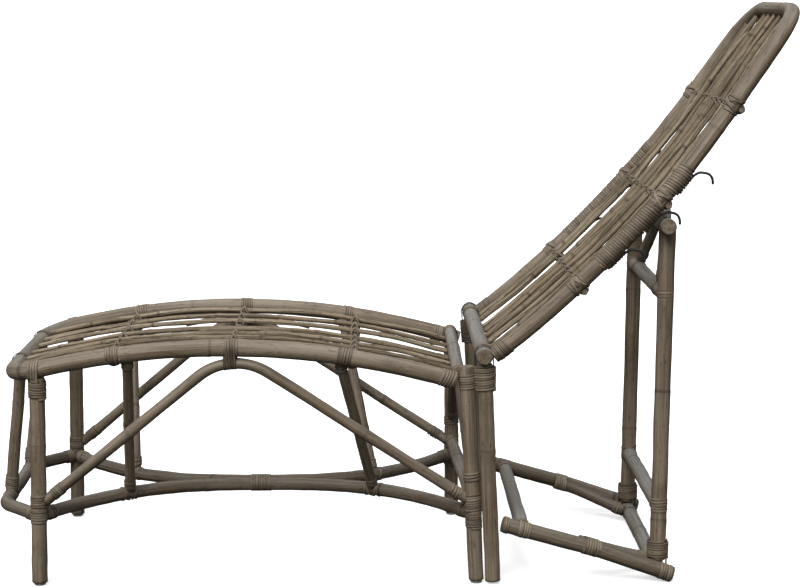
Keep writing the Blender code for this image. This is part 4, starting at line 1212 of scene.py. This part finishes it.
for sign in SIDES:
    side = side_name(sign)
    y = sign * SEAT_HALF

    # seat rail on the front leg
    bind = Binding("binding_front_corner_" + side, "bench")
    leg_x = FRONT_LEG_X + FRONT_LEG_LEAN
    for x in (-0.6262, -0.6214, -0.6166, -0.6118):
        saddle(bind, x, y, seat_z(x), leg_x, 0.3845)
    leg_coil(bind, "leg_front_" + side, 0.3950, 0.3600, turns=7, chevron=0.0012, lift=0.0014)
    bind.done()

    # seat rail over the front stick, the arch and the rear stick
    bind = Binding("binding_rail_front_" + side, "bench")
    rail_coil(bind, sign, -0.4825, -0.4585, turns=5)
    end_coil(bind, "side_stick_front_" + side, 0, 0.0010, 0.0125, turns=3, lift=0.0006)
    stick = POLES["side_stick_front_" + side]
    foot_x = float(stick.p[0][0]) + MID
    bind.done()
    bind = Binding("binding_rail_middle_" + side, "bench")
    bind.hull((-0.2530, y, 0.4490), (1.0, 0.0, 0.0), ["seat_frame", "side_arch_" + side], 5, pitch=0.0048)
    bind.done()
    bind = Binding("binding_rail_rear_" + side, "bench")
    rail_coil(bind, sign, -0.0490, -0.0290, turns=4)
    end_coil(bind, "side_stick_rear_" + side, 0, 0.0010, 0.0135, turns=3, lift=0.0006)
    bind.done()

    # rear end of the rail, rear leg top
    bind = Binding("binding_rail_end_" + side, "bench")
    if sign < 0:
        rail_coil(bind, sign, 0.1385, 0.1640, turns=5, chevron=0.0020)
        leg_coil(bind, "leg_rear_left", 0.4030, 0.3745, turns=6)
    else:
        rail_coil(bind, sign, 0.1376, 0.1608, turns=5)
        rail_coil(bind, sign, 0.1665, 0.1905, turns=5, chevron=0.0018)
        leg_coil(bind, "leg_rear_right", 0.3636, 0.3290, turns=7)
    end_coil(bind, "seat_rear_rail", 0 if sign < 0 else 1, 0.0010, 0.0120 if sign < 0 else 0.0290,
             turns=3 if sign < 0 else 7, tone=None if sign < 0 else -0.6)
    bind.done()

    # front leg, low: leg bands, brace foot, stretcher ends
    bind = Binding("binding_front_foot_" + side, "bench")
    leg_coil(bind, "leg_front_" + side, 0.1735, 0.1505, turns=5)
    leg_coil(bind, "leg_front_" + side, 0.1475, 0.1225, turns=5, chevron=0.0010)
    end_coil(bind, "side_arch_" + side, 0, 0.0060, 0.0260, turns=5)
    end_coil(bind, "side_stretcher_" + side, 0, 0.0050, 0.0145, turns=3)
    end_coil(bind, "front_stretcher", 0 if sign < 0 else 1, 0.0010, 0.0150, turns=3)
    bind.done()

    # rear leg, low
    bind = Binding("binding_rear_foot_" + side, "bench")
    leg_coil(bind, "leg_rear_" + side, 0.1760, 0.1430, turns=7)
    leg_coil(bind, "leg_rear_" + side, 0.1410, 0.1080, turns=7, chevron=0.0010)
    end_coil(bind, "side_arch_" + side, 1, 0.0050, 0.0230, turns=4)
    end_coil(bind, "side_stretcher_" + side, 1, 0.0050, 0.0190, turns=4)
    end_coil(bind, "rear_stretcher", 0 if sign < 0 else 1, 0.0020, 0.0140, turns=3)
    end_coil(bind, "rear_arch", 0 if sign < 0 else 1, 0.0040, 0.0150, turns=3)
    leg_coil(bind, "leg_rear_" + side, 0.2160, 0.1990, turns=3)
    bind.done()

    # low ends of the side sticks
    for end in ("front", "rear"):
        bind = Binding("binding_stick_%s_%s" % (end, side), "bench")
        stick = POLES["side_stick_%s_%s" % (end, side)]
        bar = POLES["side_stretcher_" + side]
        end_coil(bind, stick.name, 1, 0.0005, 0.0185, turns=4, chevron=0.0010, lift=0.0006)
        low = stick.p[-1]
        at = bar.near(low[0] + MID, low[1], low[2])
        for offset in (-0.0155, 0.0110):
            bind.coil(bar, at + offset, at + offset + 0.0045, turns=1.2)
        for slant in (-1.0, 1.0):
            mix = np.linspace(-2.6, 2.6, 46)
            c, t, a, b = bar.at(at + slant * 0.0105 * np.sin(mix * 0.62))
            up = np.array((0.0, 0.0, 1.0))
            across = np.cross(unit(t[20]), up)
            out = (across[None, :] * np.sin(mix)[:, None] - up[None, :] * np.cos(mix)[:, None])
            bind.strand(c + out * (bar.r + 0.0006 + (0.0008 if slant > 0 else 0.0)), out)
        bind.done()

    # front sticks
    bind = Binding("binding_front_stick_" + side, "bench")
    stick = POLES["front_stick_" + side]
    top, low = stick.p[0], stick.p[-1]
    at = SEAT.near(top[0] + MID, top[1], top[2])
    bind.coil(SEAT, at - 0.0090, at + 0.0090, turns=3, tone=-0.9, lift=0.0012, width=0.0046)
    end_coil(bind, stick.name, 0, 0.0005, 0.0120, turns=3, lift=0.0006)
    end_coil(bind, stick.name, 1, 0.0005, 0.0260, turns=6, chevron=0.0016, lift=0.0006)
    at = POLES["front_stretcher"].near(low[0] + MID, low[1], low[2])
    bind.coil("front_stretcher", at - 0.0150, at - 0.0105, turns=1.2)
    bind.coil("front_stretcher", at + 0.0105, at + 0.0150, turns=1.2)
    bind.done()

    # post top, over the legs of the wire loop
    bind = Binding("binding_post_top_" + side, "bench")
    post = POLES["post_" + side]
    girth = ringed(POST_R, ((POST_R + 0.0022, 0.0, 0.0019), (-POST_R - 0.0022, 0.0, 0.0019)))
    slim = lambda s: np.clip((s - 0.020) / 0.022, 0.0, 1.0)
    bind.coil(post, 0.0022, 0.0500, turns=10, lift=0.0007, tone=None if sign < 0 else -0.9,
              girth=lambda s, out: girth(np.arctan2(out[:, 1], out[:, 0])) + 0.0014 * (1.0 - slim(s)))
    bind.done()

    # base
    bind = Binding("binding_base_front_" + side, "bench")
    rail = POLES["base_rail_" + side]
    yb = sign * BASE_HALF
    on = lambda x: rail.near(x, yb, base_rail_z(x))
    x0, x1 = (0.2830, 0.3060) if sign < 0 else (0.2790, 0.3010)
    bind.coil(rail, on(x0), on(x1), turns=5)
    end_coil(bind, "base_front_rail", 0 if sign < 0 else 1, 0.0010, 0.0140, turns=3)
    end_coil(bind, rail.name, 0, 0.0020, 0.0095, turns=2)
    bind.done()
    bind = Binding("binding_base_branch_" + side, "bench")
    middle = 0.4240 if sign < 0 else 0.4120
    t = rail.at(np.array([on(middle)]))[1][0]
    bind.hull((middle, sign * (BASE_HALF - 0.011), base_rail_z(middle)), t,
              [rail.name, "base_branch_" + side], 6 if sign < 0 else 5, pitch=0.0049)
    bind.done()
    bind = Binding("binding_base_rear_" + side, "bench")
    bind.coil(rail, on(0.5515), on(0.5755), turns=5)
    end_coil(bind, "base_branch_" + side, 1, 0.0050, 0.0140, turns=3)
    bar = POLES["base_rear_bar"]
    tip = POLES["base_branch_" + side].p[-1]
    at = bar.near(tip[0] + MID, tip[1], tip[2])
    bind.coil(bar, at - 0.0075, at + 0.0075, turns=3)
    end_coil(bind, "base_rear_bar", 0 if sign < 0 else 1, 0.0010, 0.0100, turns=2)
    bind.done()

    # prop
    bind = Binding("binding_prop_upper_" + side, "prop")
    leg_coil(bind, "prop_post_" + side, 0.5620, 0.5375, turns=4, width=0.0052)
    end_coil(bind, "prop_upper_rail", 0 if sign < 0 else 1, 0.0010, 0.0110, turns=2)
    bind.done()
    bind = Binding("binding_prop_lower_" + side, "prop")
    leg_coil(bind, "prop_post_" + side, 0.1570, 0.1280, turns=5, width=0.0052)
    end_coil(bind, "prop_lower_rail", 0 if sign < 0 else 1, 0.0010, 0.0110, turns=2)
    bind.done()
    bind = Binding("binding_prop_arch_" + side, "prop")
    end_coil(bind, "prop_arch", 0 if sign < 0 else 1, 0.0040, 0.0140, turns=3)
    tip = POLES["prop_arch"].p[0 if sign < 0 else -1]
    bar = POLES["prop_upper_rail"]
    at = bar.near(tip[0] + MID, tip[1], tip[2])
    bind.coil(bar, at - 0.0075, at + 0.0075, turns=3)
    bind.done()
    bind = Binding("binding_prop_foot_" + side, "prop")
    girth_foot = ringed(PROP_R, ((REAR_BAR_R + 0.0024, 0.0, 0.0019), (-REAR_BAR_R - 0.0024, 0.0, 0.0019)))
    leg_coil(bind, "prop_post_" + side, 0.0725, 0.0395, turns=7, lift=0.0009,
             girth=lambda s, out: girth_foot(np.arctan2(out[:, 1], out[:, 0])))
    bind.done()

# the bowed stretchers where they meet
bind = Binding("binding_stretcher_middle", "bench")
bind.hull((-0.2134, 0.0, STRETCHER_Z), (1.0, 0.0, 0.0), ["side_stretcher_left", "side_stretcher_right"],
          8, pitch=0.0050)
bind.done()

# back rails: foot, crossbars, and the long close winding over the hook shanks
bar_at = Vector((PROP_TOP_RAIL[0], 0.0, PROP_TOP_RAIL[1]))
hook_s, best = 0.0, 1.0
for i in range(400):
    s = 0.30 + 0.0006 * i
    p, along, normal = back_frame(s)
    off = abs((bar_at - p).dot(along))
    if off < best:
        hook_s, best = s, off
p, along, normal = back_frame(hook_s)
bar_rear = (bar_at - p).dot(normal)
SHANK = BACK_R + HOOK_R + 0.0004
hooks = [hook_s + k * HOOK_PITCH for k in (-1, 0, 1)]
shank_girth = ringed(BACK_R, ((SHANK, 0.0, HOOK_R + 0.0002),))


def back_station(sign, s):
    """Length along the bent back pole at station s of one of its rails."""
    q = back_point(s, sign * back_half(s))
    return BACK.near(*q)


def rail_lash(binding, s, sign, count=3):
    """Crossed strands that tie a crossbar's end to a back rail."""
    p, along, normal = back_frame(s)
    basis = np.stack([np.array(along), np.array((0.0, float(sign), 0.0)), -np.array(normal)], 0)
    q = back_point(s, sign * back_half(s), BAR_REAR)
    origin = np.array((q[0] - MID, q[1], q[2]))
    tubes = [(np.zeros(3), np.array((0.0, 1.0, 0.0)), BACK_BAR_R * 0.80),
             (np.array((0.0, 0.0, BAR_REAR)), np.array((1.0, 0.0, 0.0)), BACK_R)]
    for turn, lift in ((1.0, 0.0014), (-1.0, 0.0026)):
        for i in range(count):
            inner = -0.0172 - 0.0046 * i
            knots = [(0.0, inner, -BACK_BAR_R), (-0.0115 * turn, inner, 0.0),
                     ((-0.0105 - 0.0025 * i) * turn, -0.0160, BAR_REAR * 0.7),
                     ((0.0012 - 0.0030 * i) * turn, 0.0, BAR_REAR + BACK_R + 0.003),
                     ((0.0105 + 0.0010 * i) * turn, 0.0160, BAR_REAR * 0.7),
                     ((0.0098 + 0.0012 * i) * turn, 0.0128, 0.0040)]
            path, _ = resample(knots, 0.0016)
            local, out = taut(path, tubes, rounds=90, skin=lift)
            binding.strand(origin + local @ basis, out @ basis, width=0.0046, sink=0.0040)


for sign in SIDES:
    side = side_name(sign)
    bind = Binding("binding_back_foot_" + side, "backrest")
    bind.coil(BACK, back_station(sign, 0.0200), back_station(sign, 0.0480), turns=7, width=0.0040,
              tone=-0.5 if sign < 0 else -0.8)
    reach = sorted((PIVOT_HALF + sign * 0.1980, PIVOT_HALF + sign * 0.2255))
    bind.coil("pivot_bar", reach[0], reach[1], turns=6, width=0.0045, tone=-0.2 if sign < 0 else -0.8)
    bind.done()
    for label, s in zip(("lower", "middle", "upper"), BACK_BAR_S):
        bind = Binding("binding_back_%s_%s" % (label, side), "backrest")
        front = tuple(-back_frame(s)[2])
        arc_strands(bind, BACK, [back_station(sign, s + d) for d in (-0.0072, -0.0024, 0.0024, 0.0072)],
                    front, 1.75)
        rail_lash(bind, s, sign)
        for d in (-0.0128, 0.0128):
            a, b = back_station(sign, s + d - 0.0023), back_station(sign, s + d + 0.0023)
            bind.coil(BACK, a, b, turns=1.3, lift=0.0006)
        bind.done()
    bind = Binding("binding_back_winding_" + side, "backrest")
    low, high = (0.2730, 0.5140) if sign < 0 else (0.2620, 0.5200)

    def wound(s_pole, out):
        station = np.interp(s_pole, table_pole, table_s)
        rear = np.stack([np.array(back_frame(float(v))[2]) for v in station[::10]], 0)
        rear = rear[np.minimum(np.arange(len(station)) // 10, len(rear) - 1)]
        angle = np.arctan2(out[:, 1], np.sum(out * rear, axis=1))
        under = np.zeros(len(station))
        for h in hooks:
            under = np.maximum(under, np.clip((station - (h - 0.0430)) / 0.010, 0.0, 1.0)
                               * np.clip((h + 0.0050 - station) / 0.003, 0.0, 1.0))
        return BACK_R + (shank_girth(angle) - BACK_R) * under

    stations = np.linspace(low - 0.01, high + 0.01, 60)
    marks = np.array([back_station(sign, v) for v in stations])
    order = np.argsort(marks)
    table_pole, table_s = marks[order], stations[order]
    gap = BACK_BAR_S[1]
    for a, b in ((low, gap - 0.0165), (gap + 0.0165, high)):
        turns = int(round((b - a) / 0.0053))
        bind.coil(BACK, back_station(sign, a), back_station(sign, b), turns=turns, width=0.0045, girth=wound,
                  lift=0.0002, thick=0.0009)
    bind.done()


# ---------------------------------------------------------------- metal pieces
def rod(name, points, radius, body, mat, node, seg=16, step=0.0012, smooth=0):
    """A bent steel rod with rounded ends."""
    p, s = resample([(x - MID, y, z) for x, y, z in points], step)
    for _ in range(smooth):
        p[1:-1] = 0.25 * p[:-2] + 0.5 * p[1:-1] + 0.25 * p[2:]
    t, a, b = frames_along(p)
    caps = np.array((0.98, 0.92, 0.80, 0.60, 0.32))
    radii = np.full(len(p), radius)
    head = [p[0] - t[0] * radius * math.sqrt(1.0 - c * c) * 0.8 for c in caps[::-1]]
    tail = [p[-1] + t[-1] * radius * math.sqrt(1.0 - c * c) * 0.8 for c in caps]
    path = np.vstack([head, p, tail])
    n = len(caps)
    pad = lambda arr: np.vstack([np.repeat(arr[:1], n, 0), arr, np.repeat(arr[-1:], n, 0)])
    radii = np.concatenate([radius * caps[::-1], radii, radius * caps])
    t, a, b = pad(t), pad(a), pad(b)
    verts, quads = sweep_rings(path, t, a, b, radii, seg, 0)
    faces = quads.tolist()
    rings = len(path)
    faces.append(list(range(seg))[::-1])
    faces.append(list(range((rings - 1) * seg, rings * seg)))
    ang = np.arange(seg) * (2.0 * math.pi / seg)
    run = np.concatenate(([0.0], np.cumsum(np.linalg.norm(np.diff(path, axis=0), axis=1))))
    shift = seeded(name).uniform(0.0, 20.0)
    grain = np.stack([np.repeat(run + shift, seg), np.tile(np.cos(ang), rings) * radius,
                      np.tile(np.sin(ang), rings) * radius], 1)
    zero = np.zeros(len(verts))
    return piece(name, (verts, faces, [0] * len(faces), grain, zero, zero, zero, zero), body,
                 [mat], (node,))


for sign in SIDES:
    side = side_name(sign)
    y = sign * POST_HALF
    loop_r = PIVOT_R + STRAP_R + 0.0008
    lean = (POST_FOOT[0] - POST_TOP[0]) / (POST_TOP[1] - POST_FOOT[1])
    hug = POST_R + STRAP_R + 0.0007
    low_z = PIVOT[1] - 0.056
    low_x = POST_TOP[0] + lean * (POST_TOP[1] - low_z)
    run = [(low_x - hug, y, low_z), (POST_TOP[0] - hug - 0.0003, y, POST_TOP[1])]
    run += [(PIVOT[0] + loop_r * math.cos(a), y, PIVOT[1] + loop_r * math.sin(a))
            for a in np.linspace(math.pi, 0.0, 41)]
    run += [(POST_TOP[0] + hug + 0.0003, y, POST_TOP[1]), (low_x + hug, y, low_z)]
    rod("pivot_strap_%s_wire" % side, run, STRAP_R * 0.86, "bench", STEEL,
        "pivot_strap_" + side, seg=12, smooth=1)
    y = sign * PROP_HALF
    loop_r = REAR_BAR_R + STRAP_R + 0.0008
    run = [(REAR_BAR[0] - loop_r, y, REAR_BAR[1] + 0.056)]
    run += [(REAR_BAR[0] + loop_r * math.cos(a), y, REAR_BAR[1] + loop_r * math.sin(a))
            for a in np.linspace(math.pi, 2.0 * math.pi, 41)]
    run.append((REAR_BAR[0] + loop_r + 0.0006, y, REAR_BAR[1] + 0.056))
    rod("prop_strap_%s_wire" % side, run, STRAP_R, "prop", STEEL,
        "prop_strap_" + side, seg=12, smooth=1)

shank = SHANK
for sign in SIDES:
    for k, label in ((-1, "lower"), (0, "middle"), (1, "upper")):
        s = hook_s + k * HOOK_PITCH
        bend = [(-0.034, shank), (-0.004, shank), (0.0080, shank + 0.0012),
                (0.0180, shank + 0.0052), (0.0250, bar_rear - 0.0085),
                (0.0268, bar_rear - 0.0015), (0.0240, bar_rear + 0.0065),
                (0.0175, bar_rear + 0.0130)]
        y = sign * back_half(s)
        name = "hook_%s_%s" % (label, side_name(sign))
        rod(name + "_rod", [back_point(s + ds, y, out) for ds, out in bend], HOOK_R, "backrest",
            BLACK, name, seg=18, step=0.0010, smooth=14)

# ---------------------------------------------------------------- glides
for sign in SIDES:
    for end, x in (("front", FRONT_LEG_X - FRONT_LEG_LEAN), ("rear", REAR_LEG_FOOT[sign][0])):
        name = "glide_%s_%s" % (end, side_name(sign))
        seg = 40
        ang = np.arange(seg) * (2.0 * math.pi / seg)
        profile = ((0.30, 1.0), (0.80, 1.0), (0.93, 0.97), (1.0, 0.86), (1.0, 0.52), (0.975, 0.46),
                   (0.985, 0.36), (0.95, 0.18), (0.88, 0.06), (0.78, 0.0), (0.35, 0.0))
        rings = len(profile)
        verts = np.vstack([np.stack([x - MID + GLIDE_R * r * np.cos(ang),
                                     sign * SEAT_HALF + GLIDE_R * r * np.sin(ang),
                                     np.full(seg, GLIDE_H * h)], 1) for r, h in profile])
        faces = []
        for i in range(rings - 1):
            for j in range(seg):
                m = (j + 1) % seg
                faces.append([i * seg + j, (i + 1) * seg + j, (i + 1) * seg + m, i * seg + m])
        faces.append(list(range(seg)))
        faces.append([(rings - 1) * seg + j for j in range(seg)][::-1])
        # edge values: darker towards the floor, and painted shade in the groove round the side
        edge = np.repeat([0.6 if h < 0.2 else 0.9 if 0.4 < h < 0.5 else 0.0 for r, h in profile], seg)
        zero = np.zeros(len(verts))
        shift = seeded(name).uniform(0.0, 9.0)
        piece(name + "_cap", (verts, faces, [0] * len(faces), verts + shift, zero, zero, edge, zero),
              "bench", [GLIDE], (name,))

# ---------------------------------------------------------------- stage
floor_mesh = bpy.data.meshes.new("studio_floor")
floor_mesh.from_pydata([(-400.0, -400.0, 0.0), (400.0, -400.0, 0.0), (400.0, 400.0, 0.0),
                        (-400.0, 400.0, 0.0)], [], [(0, 1, 2, 3)])
floor = bpy.data.objects.new("studio_floor", floor_mesh)
bpy.context.scene.collection.objects.link(floor)
mat, tree, shader = grow_tree("studio_floor_paper")
n = Nodes(tree)
coords = n.new("ShaderNodeTexCoord").outputs["Object"]
n.link(n.ramp(n.noise(coords, (3.0, 3.0, 3.0)), (0.3, (0.93, 0.93, 0.93)), (0.7, (0.95, 0.95, 0.95))),
       shader.inputs["Base Color"])
shader.inputs["Roughness"].default_value = 0.9
shader.inputs["Specular IOR Level"].default_value = 0.1
shader.inputs["Emission Color"].default_value = (1.0, 1.0, 1.0, 1.0)
shader.inputs["Emission Strength"].default_value = 0.55
floor_mesh.materials.append(mat)
floor.visible_diffuse = False
floor.visible_glossy = False

world = bpy.data.worlds.new("studio")
bpy.context.scene.world = world
world.use_nodes = True
n = Nodes(world.node_tree)
up = n.new("ShaderNodeTexCoord").outputs["Generated"]
split = n.new("ShaderNodeSeparateXYZ")
n.link(up, split.inputs[0])
level = n.ramp(n.fade(split.outputs["Z"], -1.0, 1.0), (0.0, (0.035, 0.035, 0.035)), (0.46, (0.07, 0.07, 0.07)),
               (0.58, (0.30, 0.30, 0.30)), (1.0, (0.74, 0.74, 0.74)))
back = world.node_tree.nodes["Background"]
n.link(level, back.inputs["Color"])
back.inputs["Strength"].default_value = 1.0

sun = bpy.data.lights.new("studio_key", "SUN")
sun.energy = 2.7
sun.angle = math.radians(38.0)
key = bpy.data.objects.new("studio_key", sun)
bpy.context.scene.collection.objects.link(key)
key.rotation_euler = Vector((-0.34, -0.80, 1.0)).to_track_quat("Z", "Y").to_euler()

# ---------------------------------------------------------------- camera
pitch, yaw = math.radians(9.105), math.radians(1.015)
fwd = Vector((math.sin(yaw) * math.cos(pitch), math.cos(yaw) * math.cos(pitch), -math.sin(pitch)))
right = Vector((math.cos(yaw), -math.sin(yaw), 0.0))
lift = right.cross(fwd)
lens = bpy.data.cameras.new("photo_camera")
lens.sensor_fit = "HORIZONTAL"
lens.sensor_width = 36.0
lens.lens = 85.5
lens.clip_end = 2000.0
camera = bpy.data.objects.new("photo_camera", lens)
bpy.context.scene.collection.objects.link(camera)
camera.matrix_world = Matrix.Translation((-MID, -3.7105, 1.1108)) @ Matrix(
    (right, lift, -fwd)).transposed().to_4x4()
bpy.context.scene.camera = camera
bpy.context.scene.view_settings.view_transform = "Standard"
